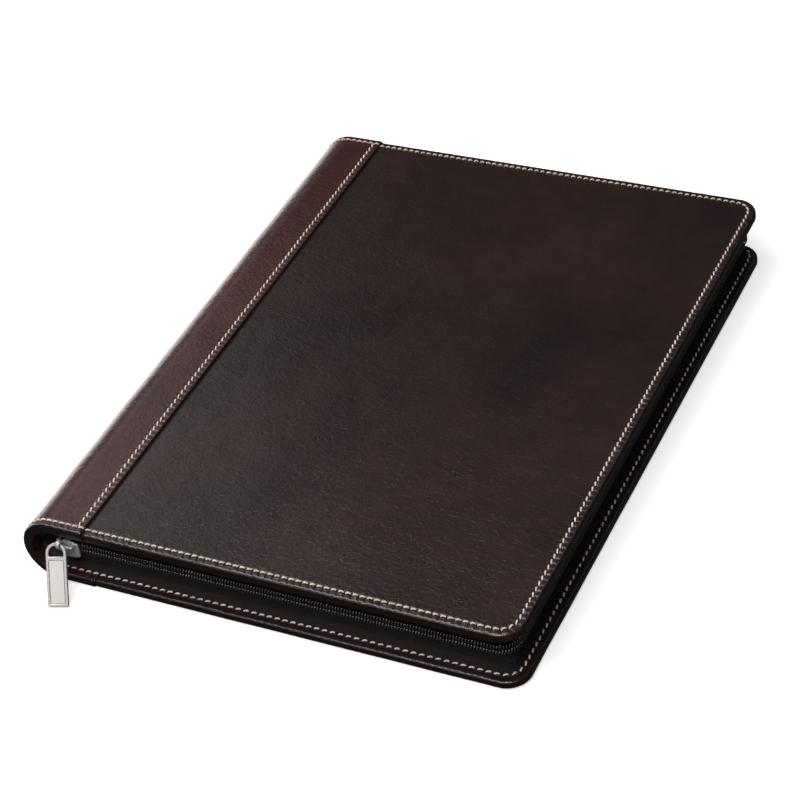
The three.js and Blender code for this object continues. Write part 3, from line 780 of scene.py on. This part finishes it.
def spine_end_stitches(name, upper):
    """Stitches round both ends of the spine, on its outer face."""
    section, inward, walked = spine_section(SPINE_PITCH, OVERLAY_X)
    flip = 1 if upper else -1
    made = []
    for end in (-1, 1):
        y = np.full(len(walked), end * (EDGE_Y + OVERLAY_OUT - SEAM_INSET))
        z = section[:, 1] if upper else 2 * SPINE_R - section[:, 1]
        points = np.stack([section[:, 0], y, z], -1)
        normals = np.stack([-inward[:, 0], 0 * walked, -flip * inward[:, 1]], -1)
        lift = 0.34 if upper else 0.2
        made.append(stitch_run(f"{name}_{'near' if end < 0 else 'far'}", points, normals, lift=lift))
    return made


def join_pieces(name, pieces):
    """Makes one object of several."""
    with bpy.context.temp_override(
        active_object=pieces[0], selected_editable_objects=pieces, selected_objects=pieces
    ):
        bpy.ops.object.join()
    pieces[0].name = name
    pieces[0].data.name = name
    return pieces[0]


front_panel = panel("front_cover_panel", FRONT_TOP, -1, COVER, 1.0)
settle(front_panel, "front_cover", "panel_leather", "front_cover_leather")
back_panel = panel("back_cover_panel", BACK_LIFT, 1, COVER - BACK_LIFT, 2.0)
settle(back_panel, "back_cover", "panel_leather", "back_cover_leather")

spine_upper = spine_leather_half("spine_wrap_upper", True)
fold_settle(spine_upper, True, "spine_leather", "spine_leather_front", "spine_leather")
spine_lower = spine_leather_half("spine_wrap_lower", False)
fold_settle(spine_lower, False, "spine_leather", "spine_leather_back")

for half, is_upper in (("upper", True), ("lower", False)):
    ends = join_pieces(f"spine_end_stitching_{half}", spine_end_stitches(f"spine_ends_{half}", is_upper))
    fold_settle(ends, is_upper, "spine_leather")

seam_x = OVERLAY_X - SEAM_BACK
seam_y = EDGE_Y - SEAM_INSET
seam_top = line_stitches("seam_stitching_front", (seam_x, -seam_y, HEIGHT), (seam_x, seam_y, HEIGHT),
                         (0, 0, 1), SEAM_PITCH, lift=0.42)
settle(seam_top, "front_cover", "spine_leather")
seam_base = line_stitches("seam_stitching_back", (seam_x, -seam_y, 0.55), (seam_x, seam_y, 0.55),
                          (0, 0, -1), SEAM_PITCH, lift=0.1)
settle(seam_base, "back_cover", "spine_leather")

cover_top = edge_stitches("front_cover_stitching", OVERLAY_X, STITCH, FRONT_TOP, 1)
settle(cover_top, "front_cover", "panel_leather")
cover_base = edge_stitches("back_cover_stitching", OVERLAY_X, STITCH, BACK_LIFT + 0.3, -1, lift=0.1)
settle(cover_base, "back_cover", "panel_leather")


# ---- linings ----
def lining(name, upper):
    """Cloth over the inside of a cover, carried on round the inside of the spine to its middle."""
    low, high = (front_lining_low, front_lining_high) if upper else (back_lining_low, back_lining_high)
    inset = EDGE_Y - high[1]
    right = high[0]
    corner = CHAIN_CENTRE - inset
    face = front_low[2] - 0.3 if upper else COVER + 0.3
    centre = SPINE_R - 0.45
    sign = 1 if upper else -1
    arc = np.radians(np.linspace(180, 90, 16))
    arc_x = SPINE_X + abs(face - centre) * np.cos(arc)
    arc_z = centre + sign * abs(face - centre) * np.sin(arc)
    flat_x = np.concatenate([np.linspace(SPINE_X, right - corner, 60)[1:], right - corner + corner * np.sin(
        np.radians(np.linspace(0, 90, 10)))[1:]])
    x = np.concatenate([arc_x, flat_x])
    z = np.concatenate([arc_z, np.full(len(flat_x), face)])
    half = np.full(len(x), high[1])
    beyond = np.clip(x - (right - corner), 0, corner)
    half -= corner - np.sqrt(np.maximum(corner**2 - beyond**2, 0))
    across = np.linspace(-1, 1, 81)
    points = np.zeros((len(x), len(across), 3))
    points[:, :, 0] = x[:, None]
    points[:, :, 1] = half[:, None] * across
    puff = 0.15 * cloud(x[:, None], points[:, :, 1], 0.04, 11.0 + upper)
    points[:, :, 2] = z[:, None] - sign * np.abs(puff) * (x > SPINE_X)[:, None]
    made = build(name, points, grid_faces(len(x), len(across)), lining_cloth)
    tidy(made)
    return thicken(made, 0.5, 0.0)


lining_top = lining("front_lining_cloth", True)
fold_settle(lining_top, True, "lining", "front_lining", "spine_lining")
lining_base = lining("back_lining_cloth", False)
fold_settle(lining_base, False, "lining", "back_lining")


# ---- zip ----
def tape(name, profile, seed):
    """A woven tape swept along the free edges; profile gives (inset, z, corner centre) from foot to chain."""
    walk = tape_walk
    rows, columns = len(walk.walked), len(profile)
    points = np.zeros((rows, columns, 3))
    hole = hole_depth(walk.walked, foot_pitch)
    bulge = cloud(walk.walked, 0, 0.02, seed)
    turning = np.isin(walk.leg, (1, 3))
    folds = np.where(turning, np.sin(walk.share * 2 * math.pi * 5), 0.0)
    distance = np.concatenate([[0], np.cumsum(np.hypot(*np.diff(np.array(profile)[:, :2], axis=0).T))])
    middle = np.sin(math.pi * distance / distance[-1])
    for c, (inset, z, centre) in enumerate(profile):
        swell = (0.35 * bulge + 0.16 * folds) * middle[c]
        points[:, c, :2] = walk.at(inset, centre) + walk.out * swell[:, None]
        sunk = 0.22 * hole * math.exp(-(((inset - SEAM_INSET) / 0.8) ** 2)) if distance[c] < 4 else 0
        points[:, c, 2] = z - sunk * (1 if profile[-1][1] > profile[0][1] else -1)
    along = np.broadcast_to(walk.walked[:, None], (rows, columns))
    across = np.broadcast_to(distance[None, :], (rows, columns))
    made = build(name, points, grid_faces(rows, columns), tape_weave, along, across)
    return thicken(made, 0.5, 0.0)


foot_pitch = even_pitch(ZIP_END_X, FOOT_STITCH)
tape_walk = EdgeWalk(ZIP_END_X, SEAM_INSET, CORNER, foot_pitch / SAMPLES)
tape_base = COVER + 0.35
lower_profile = [
    (2.7, tape_base, 12), (3.2, tape_base + 0.1, 12),
    (3.6, tape_base + 0.15, 12), (3.9, tape_base + 0.15, 12),
    (4.3, tape_base + 0.25, 12.1), (4.8, tape_base + 0.55, 12.4), (5.3, tape_base + 1.2, 12.9),
    (5.7, tape_base + 2.2, 13.4), (6.0, tape_base + 3.6, 14), (6.2, tape_base + 5.4, 14.5),
    (6.3, tape_base + 7.5, 14.8), (6.3, tape_base + 9.6, 15), (6.25, lower_coil_low[2], 15),
    (6.2, lower_coil_high[2] - 0.2, 15),
]
lower_tape = tape("lower_zip_tape_weave", lower_profile, 21.0)
settle(lower_tape, "back_cover", "zip_tape", "lower_zip_tape")

tape_roof = front_low[2] - 0.35
upper_profile = [
    (3.0, tape_roof, 12), (3.5, tape_roof - 0.05, 12),
    (3.9, tape_roof - 0.05, 12), (4.5, tape_roof - 0.2, 12.4),
    (5.2, tape_roof - 0.8, 13), (5.8, tape_roof - 1.8, 13.8), (6.2, tape_roof - 3.2, 14.5),
    (6.35, tape_roof - 5, 15), (6.3, upper_coil_high[2], 15), (6.2, upper_coil_low[2] + 0.2, 15),
]
upper_tape = tape("upper_zip_tape_weave", upper_profile, 23.0)
settle(upper_tape, "front_cover", "zip_tape", "upper_zip_tape")

foot_stitches = edge_stitches("lower_tape_stitching", ZIP_END_X, FOOT_STITCH, tape_base + 0.4, 1)
settle(foot_stitches, "back_cover", "zip_tape")
hem_stitches = edge_stitches("upper_tape_stitching", ZIP_END_X, FOOT_STITCH, tape_roof - 0.35, -1)
settle(hem_stitches, "front_cover", "zip_tape")


def coil(name, low, high, heads_up, shift):
    """A flattened nylon spiral sewn along a tape, its heads towards the middle of the chain."""
    turns_samples = 12
    walk = EdgeWalk(ZIP_END_X + 2.8, CHAIN_INSET, CHAIN_CENTRE, COIL_PITCH / turns_samples)
    count = len(walk.walked)
    angle = 2 * math.pi * (np.arange(count) / turns_samples + shift)
    wire = 0.3
    middle = (low + high) / 2
    tall = (high - low) / 2 - wire
    deep = 0.62
    axis_inset = CHAIN_INSET + deep + wire
    flat = walk.at(axis_inset, CHAIN_CENTRE)
    out = np.column_stack([walk.out, np.zeros(count)])
    up = np.array([0, 0, 1.0])
    across, rise = np.cos(angle), np.sin(angle)
    path = np.column_stack([flat, np.full(count, middle)])
    path = path + out * (deep * across)[:, None] + up * (tall * rise)[:, None]
    ahead = np.gradient(path, axis=0)
    ahead /= np.linalg.norm(ahead, axis=1)[:, None]
    radial = out * across[:, None] + up * rise[:, None]
    side = np.cross(ahead, radial)
    side /= np.linalg.norm(side, axis=1)[:, None]
    radial = np.cross(side, ahead)
    sides = 6
    girth = full_turn(sides)
    fat = 1 + 0.25 * np.clip(rise if heads_up else -rise, 0, 1)
    ring = radial[:, None] * np.cos(girth)[:, None] + side[:, None] * np.sin(girth)[:, None]
    shape = path[:, None] + ring * (wire * fat)[:, None, None]
    # Painted highlights: the crest attribute marks the outward side of the wire at the bends where light
    # glints, brightest on the upper coil's upper bends.
    turned = (np.degrees(angle) + 180) % 360 - 180
    bends = ((42, 0.5), (-42, 0.7)) if heads_up else ((42, 1.0), (-42, 0.6))
    glint_at_bends = sum(share * np.exp(-(((turned - bend) / 20) ** 2)) for bend, share in bends)
    crest = glint_at_bends[:, None] * np.clip(np.cos(girth) * 1.4 - 0.4, 0, 1)
    return build(name, shape, tube_faces(count, sides), coil_nylon, crest=crest)


HEAD_GAP = 0.3  # from the middle of the chain to the coils' heads
lower_coil = coil("lower_coil_teeth", lower_coil_low[2], CHAIN_Z - HEAD_GAP, True, 0.0)
settle(lower_coil, "back_cover", "zip_coil", "lower_zip_coil")
upper_coil = coil("upper_coil_teeth", CHAIN_Z + HEAD_GAP, upper_coil_high[2], False, 0.5)
settle(upper_coil, "front_cover", "zip_coil", "upper_zip_coil")


# ---- bevelled plates ----
def rounded(x0, x1, y0, y1, radius, steps=6):
    """A rectangle's outline with round corners."""
    points = []
    corners = [(x1, y0, -90), (x1, y1, 0), (x0, y1, 90), (x0, y0, 180)]
    for x, y, start in corners:
        cx = x - math.copysign(radius, x - (x0 + x1) / 2)
        cy = y - math.copysign(radius, y - (y0 + y1) / 2)
        for angle in np.radians(np.linspace(start, start + 90, steps)):
            points.append((cx + radius * math.cos(angle), cy + radius * math.sin(angle)))
    return points


def bevelled(name, outlines, low, high, bevel, material, place=None):
    """A flat plate with rounded edges. The first outline is its rim, the others its windows."""
    curve = bpy.data.curves.new(name, "CURVE")
    curve.dimensions = "2D"
    curve.fill_mode = "BOTH"
    curve.extrude = (high - low) / 2 - bevel
    curve.bevel_depth = bevel
    curve.bevel_resolution = 3
    curve.offset = -bevel
    for outline in outlines:
        spline = curve.splines.new("POLY")
        spline.points.add(len(outline) - 1)
        for point, (x, y) in zip(spline.points, outline):
            point.co = (x, y, 0, 1)
        spline.use_cyclic_u = True
    drawn = put_in_scene(name + "_curve", curve)
    bpy.context.view_layer.update()
    mesh = bpy.data.meshes.new_from_object(drawn.evaluated_get(bpy.context.evaluated_depsgraph_get()))
    bpy.data.objects.remove(drawn)
    mesh.name = name
    mesh.transform(Matrix.Translation((0, 0, (low + high) / 2)))
    if place is not None:
        mesh.transform(place)
    mesh.transform(Matrix.Scale(MM, 4))
    mesh.materials.clear()
    mesh.materials.append(material)
    mesh.shade_smooth()
    return tidy(put_in_scene(name, mesh), 32)


def axes(origin, x_axis, y_axis, z_axis):
    """A placing matrix from an origin and three directions."""
    columns = [Vector(x_axis), Vector(y_axis), Vector(z_axis), Vector(origin)]
    rows = [[c[i] for c in columns] for i in range(3)]
    return Matrix(rows + [[0, 0, 0, 1]])


FACE_FRONT = ((1, 0, 0), (0, 0, 1), (0, -1, 0))  # drawn in X and Z, its face towards -Y

# ---- stops ----
STOPS = {"lower_top_stop": "back_cover", "upper_top_stop": "front_cover", "bottom_stop": "back_cover"}
for stop, body in STOPS.items():
    low, high = node_box(stop)
    side = -1 if low[1] < 0 else 1
    outline = rounded(low[0], high[0], low[2], high[2], 0.6)
    place = axes((0, high[1] + 0.1, 0), *FACE_FRONT)
    made = bevelled(stop + "_clip", [outline], 0, high[1] - low[1] + 0.2, 0.35, nickel, place)
    settle(made, body, "nickel", stop)


# ---- slider ----
SLANT_X, SLANT_Z = 3.6, 2.8  # the corners cut off the plates where the coils enter
WAIST = 1.1
BRIDGE_HALF = 3.5
plate_y = CHAIN_INSET - EDGE_Y - 0.3
slider_middle = (slider_low[0] + slider_high[0]) / 2


def slider_outline():
    """Corners cut on the slant where the coils part, narrow and rounded where the closed chain leaves."""
    x0, x1 = slider_low[0], slider_high[0]
    z0, z1 = slider_low[2], slider_high[2]
    shoulder = slider_middle + 1.5
    points = [(x0, z0 + SLANT_Z), (x0 + SLANT_X - 0.4, z0 + 0.3), (x0 + SLANT_X + 0.2, z0), (shoulder, z0)]
    for centre_z, start in ((z0 + WAIST + 0.9, -80), (z1 - WAIST - 0.9, 0)):
        for angle in np.radians(np.linspace(start, start + 80, 7)):
            points.append((x1 - 0.9 + 0.9 * math.cos(angle), centre_z + 0.9 * math.sin(angle)))
    points += [(shoulder, z1), (x0 + SLANT_X + 0.2, z1), (x0 + SLANT_X - 0.4, z1 - 0.3), (x0, z1 - SLANT_Z)]
    return points


def circle(x, y, radius):
    turn = np.linspace(0, 2 * math.pi, 21)[:-1]
    return [(x + radius * math.cos(a), y + radius * math.sin(a)) for a in turn]


def slider():
    """Two plates joined over the chain, with the bar that the pull hangs from."""
    front = axes((0, plate_y, 0), *FACE_FRONT)
    back = axes((0, slider_high[1], 0), *FACE_FRONT)
    eye = circle(slider_middle + 1.0, CHAIN_Z + 1.0, 0.95)
    pieces = [
        bevelled("slider_front", [slider_outline(), eye], 0, 1.2, 0.4, nickel, front),
        bevelled("slider_back", [slider_outline()], 0, 1.2, 0.4, nickel, back),
    ]
    reach = slider_high[1] - plate_y
    lips = ((slider_low[2], slider_low[2] + 1.0), (slider_high[2] - 1.0, slider_high[2]))
    for z0, z1 in lips:
        outline = rounded(slider_low[0] + SLANT_X, slider_middle + 1.5, z0, z1, 0.4)
        place = axes((0, plate_y + 1.9, 0), *FACE_FRONT)
        pieces.append(bevelled("slider_lip", [outline], 0, 2.4, 0.25, nickel, place))
    post = rounded(slider_low[0] + 0.5, slider_low[0] + 2.6, CHAIN_Z - 0.25, CHAIN_Z + 0.25, 0.2)
    place = axes((0, slider_high[1] - 0.5, 0), *FACE_FRONT)
    pieces.append(bevelled("slider_divider", [post], 0, reach - 0.5, 0.08, nickel, place))
    pieces.append(bridge())
    return join_pieces("slider_shell", pieces)


def bridge():
    """A bar bent over the front plate, with both its feet in the plate."""
    x0, x1 = slider_middle - BRIDGE_HALF - 0.6, slider_middle + BRIDGE_HALF + 0.6
    crest, foot, bar, bend = link_pivot[1] - 0.6, plate_y - 0.6, 1.2, 1.1
    turn = np.radians(np.linspace(0, 90, 7))
    outline = [(x0, foot)] + [(x0 + bend * (1 - math.cos(a)), crest + bend * (1 - math.sin(a))) for a in turn]
    outline += [(x1 - bend * (1 - math.sin(a)), crest + bend * (1 - math.cos(a))) for a in turn]
    outline += [(x1, foot), (x1 - bar, foot), (x1 - bar, crest + bar + 0.3), (x1 - bar - 0.3, crest + bar)]
    outline += [(x0 + bar + 0.3, crest + bar), (x0 + bar, crest + bar + 0.3), (x0 + bar, foot)]
    place = axes((0, 0, link_pivot[2]), (1, 0, 0), (0, 1, 0), (0, 0, 1))
    return bevelled("slider_bridge", [outline], -0.6, 0.6, 0.3, nickel, place)


settle(slider(), "slider", "nickel", "slider_body")


# ---- pull link ----
TAB_RAIL = 1.5
LINK_WIRE = 0.5
LINK_CLEAR = LINK_WIRE + 0.42


def pull_link():
    """A rounded ring through the slider's bridge and the tab's window, broad and thick at the tab's end."""
    arch_y = tab_pivot[1] + (link_pivot[0] - tab_pivot[0]) * tab_axis[1] / tab_axis[0]
    forward, rise = link_pivot[1] - arch_y, tab_pivot[2] - link_pivot[2]
    bridge_end = 0.6 + LINK_CLEAR
    tilt = math.atan2(rise, forward)
    long = (math.hypot(forward, rise) + bridge_end + TAB_RAIL / 2 + LINK_CLEAR) / 2
    wide = 0.7 + LINK_CLEAR
    steps, sides = 48, 16
    turn = full_turn(steps)
    oval = heading(turn)
    oval = np.sign(oval) * np.abs(oval) ** 0.75
    flat = np.stack([long * oval[:, 0], wide * oval[:, 1]], -1)
    ahead = np.roll(flat, -1, 0) - np.roll(flat, 1, 0)
    ahead /= np.linalg.norm(ahead, axis=1)[:, None]
    outward = np.stack([ahead[:, 1], -ahead[:, 0]], -1)
    fullness = np.clip(np.cos(turn), 0, 1) ** 1.5
    thick = LINK_WIRE + 0.28 * fullness
    broad = LINK_WIRE + 0.15 + 0.7 * fullness
    girth = full_turn(sides)
    reach = thick[:, None] * np.cos(girth) + (thick - LINK_WIRE)[:, None]
    along = flat[:, 0][:, None] + outward[:, 0][:, None] * reach + long - bridge_end
    aside = flat[:, 1][:, None] + outward[:, 1][:, None] * reach
    shape = np.stack([
        link_pivot[0] + broad[:, None] * np.sin(girth),
        link_pivot[1] - along * math.cos(tilt) + aside * math.sin(tilt),
        link_pivot[2] + along * math.sin(tilt) + aside * math.cos(tilt),
    ], -1)
    return tidy(build("pull_ring", shape, grid_faces(steps, sides, True, True), nickel))


settle(pull_link(), "link", "nickel", "pull_link")

# ---- pull tab ----
TAB_WIDTH = 10.2
TAB_LENGTH = 30.8
TAB_THICK = 1.3
TAB_TOP = 1.1  # from the pivot to the rounded end
WINDOW_LENGTH = 5.2
TAB_SILL = 1.9  # metal between the window and the inlay
tab_lean = math.radians(55.65)
tab_across = Vector(-tab_axis)
tab_down = Vector((tab_across.y, -tab_across.x, 0))
tab_along = -(tab_down * math.cos(tab_lean) + Vector((0, 0, -1)) * math.sin(tab_lean))
tab_place = axes(tab_pivot, tab_across, tab_along, tab_across.cross(tab_along))


def arched(half, bottom, top, nick):
    """A plate's outline: square at the bottom, a half-round at the top."""
    points = [(-half + nick, bottom), (half - nick, bottom), (half, bottom + nick)]
    for angle in np.radians(np.linspace(0, 180, 25)):
        points.append((half * math.cos(angle), top - half + half * math.sin(angle)))
    return points + [(-half, bottom + nick)]


def pull_tab():
    half, wide = TAB_WIDTH / 2, TAB_WIDTH / 2 - TAB_RAIL
    bottom = TAB_TOP - TAB_LENGTH
    window_low = TAB_TOP - TAB_RAIL - WINDOW_LENGTH
    outer = arched(half, bottom, TAB_TOP, 0.5)
    window = arched(wide, window_low, TAB_TOP - TAB_RAIL, 0.3)
    recess = rounded(-wide, wide, bottom + TAB_RAIL, window_low - TAB_SILL, 0.4, 4)
    face = TAB_THICK / 2
    base = bevelled("tab_base", [outer, window], -face, 0.15, 0.28, nickel, tab_place)
    rim = bevelled("tab_rim", [outer, window, recess], -0.25, face, 0.4, nickel, tab_place)
    settle(join_pieces("pull_tab_frame", [base, rim]), "pull", "nickel", "pull_tab")
    inlay = rounded(-wide + 0.15, wide - 0.15, bottom + TAB_RAIL + 0.15, window_low - TAB_SILL - 0.15, 0.3, 4)
    satin = bevelled("pull_tab_inlay", [inlay], 0.1, face - 0.05, 0.12, inlay_satin, tab_place)
    settle(satin, "pull", "satin_inlay", "pull_inlay")


pull_tab()


# ---- writing side ----
def flat_panel(name, node, outline, low, high, material, slot, bevel=0.3):
    """A flat piece on the back cover, in place of a CAD node."""
    return settle(bevelled(name, [outline], low, high, bevel, material), "back_cover", slot, node)


SEW = 2.2  # stitch line from a pocket's edges


def closed_sides(low, high, top_left, top_right):
    """A pocket's stitch line: down its left side, along its base and up its right side."""
    left, right, base = low[0] + SEW, high[0] - SEW, low[1] + SEW
    return [(left, top_left), (left, base), (right, base), (right, top_right)]


def frame_stitches(name, body, corners, z, up):
    """Stitches in a pocket's leather, along an open line of corners."""
    runs = []
    for i, (a, b) in enumerate(zip(corners[:-1], corners[1:])):
        runs.append(line_stitches(f"{name}_{i}", (*a, z), (*b, z), (0, 0, up), 3.0,
                                  lift=0.12, radius=0.3, material=dark_thread))
    settle(join_pieces(name, runs), body, "pocket_leather")


low, high = node_box("pad_sleeve")
sleeve_top = high[2]
sleeve = rounded(low[0], high[0], low[1], high[1], 3)
flat_panel("pad_sleeve_panel", "pad_sleeve", sleeve, sleeve_top - 0.85, sleeve_top,
           pocket_leather, "pocket_leather")
base_edge = rounded(low[0], high[0], low[1], low[1] + 6, 2)
sleeve_seam = bevelled("pad_sleeve_seam", [base_edge], low[2], sleeve_top - 0.6, 0.25, pocket_leather)
settle(sleeve_seam, "back_cover", "pocket_leather")
sleeve_sides = closed_sides(low, high, high[1], high[1])
frame_stitches("pad_sleeve_stitching", "back_cover", sleeve_sides, sleeve_top + 0.1, 1)
sleeve_mouth = [(low[0] + SEW, high[1] - SEW), (high[0] - SEW, high[1] - SEW)]
frame_stitches("pad_sleeve_mouth_stitching", "back_cover", sleeve_mouth, sleeve_top + 0.1, 1)

low, high = node_box("pad_sheets")
flat_panel("writing_pad", "pad_sheets", rounded(low[0], high[0], low[1], high[1], 0.6),
           low[2], high[2], ruled_paper, "paper", 0.12)
low, high = node_box("pad_binding")
strip = rounded(low[0] - 0.1, high[0] + 0.1, low[1], high[1] + 0.1, 0.5)
flat_panel("pad_binding_strip", "pad_binding", strip, high[2] - 0.6, high[2],
           lining_cloth, "zip_tape", 0.2)
spine_strip = rounded(low[0] - 0.1, high[0] + 0.1, high[1] - 0.6, high[1] + 0.1, 0.2)
binding_back = bevelled("pad_binding_back", [spine_strip], low[2], high[2] - 0.1, 0.15, lining_cloth)
settle(binding_back, "back_cover", "zip_tape")


def pen_loop():
    """A ribbed elastic tube, sewn down along one side."""
    low, high = node_box("pen_loop")
    centre_x, radius = (low[0] + high[0]) / 2, (high[0] - low[0]) / 2 - 0.45
    centre_z = high[2] - 0.45 - radius
    sides, rows = 36, 30
    turn = full_turn(sides)
    y = np.linspace(low[1], high[1], rows)
    flare = 1 - 0.015 * np.sin(math.pi * (y - low[1]) / (high[1] - low[1]))
    points = np.zeros((rows, sides, 3))
    points[:, :, 0] = centre_x + radius * flare[:, None] * np.cos(turn)
    points[:, :, 1] = y[:, None]
    points[:, :, 2] = np.maximum(centre_z + radius * flare[:, None] * np.sin(turn), low[2] + 0.5)
    along = np.broadcast_to(y[:, None], (rows, sides))
    across = np.broadcast_to((turn * radius)[None, :], (rows, sides))
    faces = grid_faces(rows, sides, close_columns=True)
    made = build("pen_loop_elastic", points, faces, elastic, along, across)
    thicken(made, 0.9, 0.0)
    return settle(made, "back_cover", "elastic", "pen_loop")


pen_loop()


# ---- document side ----
def pocket(name, node, top_left, top_right):
    """A flat leather pocket under the front cover, sewn on three sides."""
    low, high = node_box(node)
    outline = [(low[0], low[1]), (high[0], low[1]), (high[0], top_right), (low[0], top_left)]
    panel_low, panel_high = low[2], low[2] + 0.8
    face = bevelled(name, [outline], panel_low, panel_high, 0.3, pocket_leather)
    settle(face, "front_cover", "pocket_leather", node)
    seam = rounded(low[0] + 0.2, high[0] - 0.2, low[1] + 0.2, low[1] + 5, 0.5)
    backing = bevelled(name + "_seam", [seam], panel_high - 0.1, high[2], 0.15, pocket_leather)
    settle(backing, "front_cover", "pocket_leather")
    corners = closed_sides(low, high, top_left - 1, top_right - 1)
    frame_stitches(name + "_stitching", "front_cover", corners, panel_low - 0.1, -1)


low, high = node_box("document_pocket")
POCKET_SLOPE = 30
pocket("document_pocket_panel", "document_pocket", high[1], high[1] - POCKET_SLOPE)
for i in (1, 2, 3):
    low, high = node_box(f"card_pocket_{i}")
    pocket(f"card_pocket_panel_{i}", f"card_pocket_{i}", high[1], high[1])

for board in ("back_cover_board", "front_cover_board", "spine_stiffener", "pad_backing_card"):
    frame["nodes"][board].data.materials.clear()
    frame["nodes"][board].data.materials.append(board_grey)


# ---- table, light, camera ----
def glowing_card(name, x0, x1, y0, y1, z, color, roughness, glow):
    """A flat rectangle on the table, with a light of its own."""
    mesh = bpy.data.meshes.new(name)
    mesh.from_pydata([(x0, y0, z), (x1, y0, z), (x1, y1, z), (x0, y1, z)], [], [(0, 1, 2, 3)])
    made = put_in_scene(name, mesh)
    paint = Finish(name + "_paint", color, roughness, Emission_Color=(1, 1, 1, 1), Emission_Strength=glow)
    mesh.materials.append(paint.material)
    made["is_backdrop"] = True
    return made


def table():
    """The pale floor, and a white card beyond the spine that is seen only as a glint along it."""
    floor = glowing_card("floor", -6, 6, -6, 6, -0.0004, 0xF6F6F6, 0.9, 0.55)
    floor.visible_glossy = floor.visible_diffuse = False
    card = glowing_card("reflector", -1.5, -0.16, -0.15, 1.5, 0.0008, 0xFFFFFF, 1.0, 0.9)
    card.visible_camera = card.visible_diffuse = card.visible_shadow = False


def soft_light(name, place, target, size, power):
    lamp = bpy.data.lights.new(name, "AREA")
    lamp.shape = "RECTANGLE"
    lamp.size, lamp.size_y = size
    lamp.energy = power
    lamp.color = (1, 0.94, 0.935)
    made = put_in_scene(name, lamp)
    made.location = place
    made.rotation_euler = (Vector(target) - Vector(place)).to_track_quat("-Z", "Y").to_euler()


def camera():
    azimuth, elevation, roll = (math.radians(a) for a in (30.69, 39.49, -9.124))
    back = Vector((math.sin(azimuth) * math.cos(elevation), -math.cos(azimuth) * math.cos(elevation),
                   math.sin(elevation)))
    level = Vector((math.cos(azimuth), math.sin(azimuth), 0))
    rise = back.cross(level)
    right = level * math.cos(roll) + rise * math.sin(roll)
    up = rise * math.cos(roll) - level * math.sin(roll)
    left_shift, lift, distance = 0.1242629, 0.0264351, 1.1641389
    aim = Vector((0.129, 0, 0)) - left_shift * right + lift * up
    lens = bpy.data.cameras.new("camera")
    lens.sensor_width = 36
    lens.lens = 107.457
    lens.clip_start, lens.clip_end = 0.05, 50
    made = put_in_scene("camera", lens)
    made.matrix_world = axes(aim + back * distance, right, up, back)
    bpy.context.scene.camera = made


table()
world = bpy.data.worlds.new("studio")
world.use_nodes = True
sky = world.node_tree.nodes["Background"].inputs
sky["Color"].default_value = (1, 1, 1, 1)
sky["Strength"].default_value = 0.04
bpy.context.scene.world = world
soft_light("overhead", (-0.5, -0.1, 1.15), (0, 0, 0), (0.8, 0.8), 8)
soft_light("left_bank", (-0.95, 0.0, 0.36), (0, 0, 0), (0.3, 0.9), 2.5)
soft_light("far_left", (-0.85, 0.66, 0.72), (0, 0, 0), (0.4, 0.4), 0.45)
soft_light("far_strip", (0.3, 0.9, 1.05), (0.1, 0, 0), (0.3, 0.3), 0.35)
soft_light("front_bank", (0.1, -0.8, 1.2), (0, 0, 0), (0.9, 0.4), 12)
soft_light("front_low", (-0.1, -1.4, 0.4), (0, 0, 0), (1.2, 0.5), 2.5)
bpy.context.scene.view_settings.view_transform = "Standard"
camera()

low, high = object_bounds()
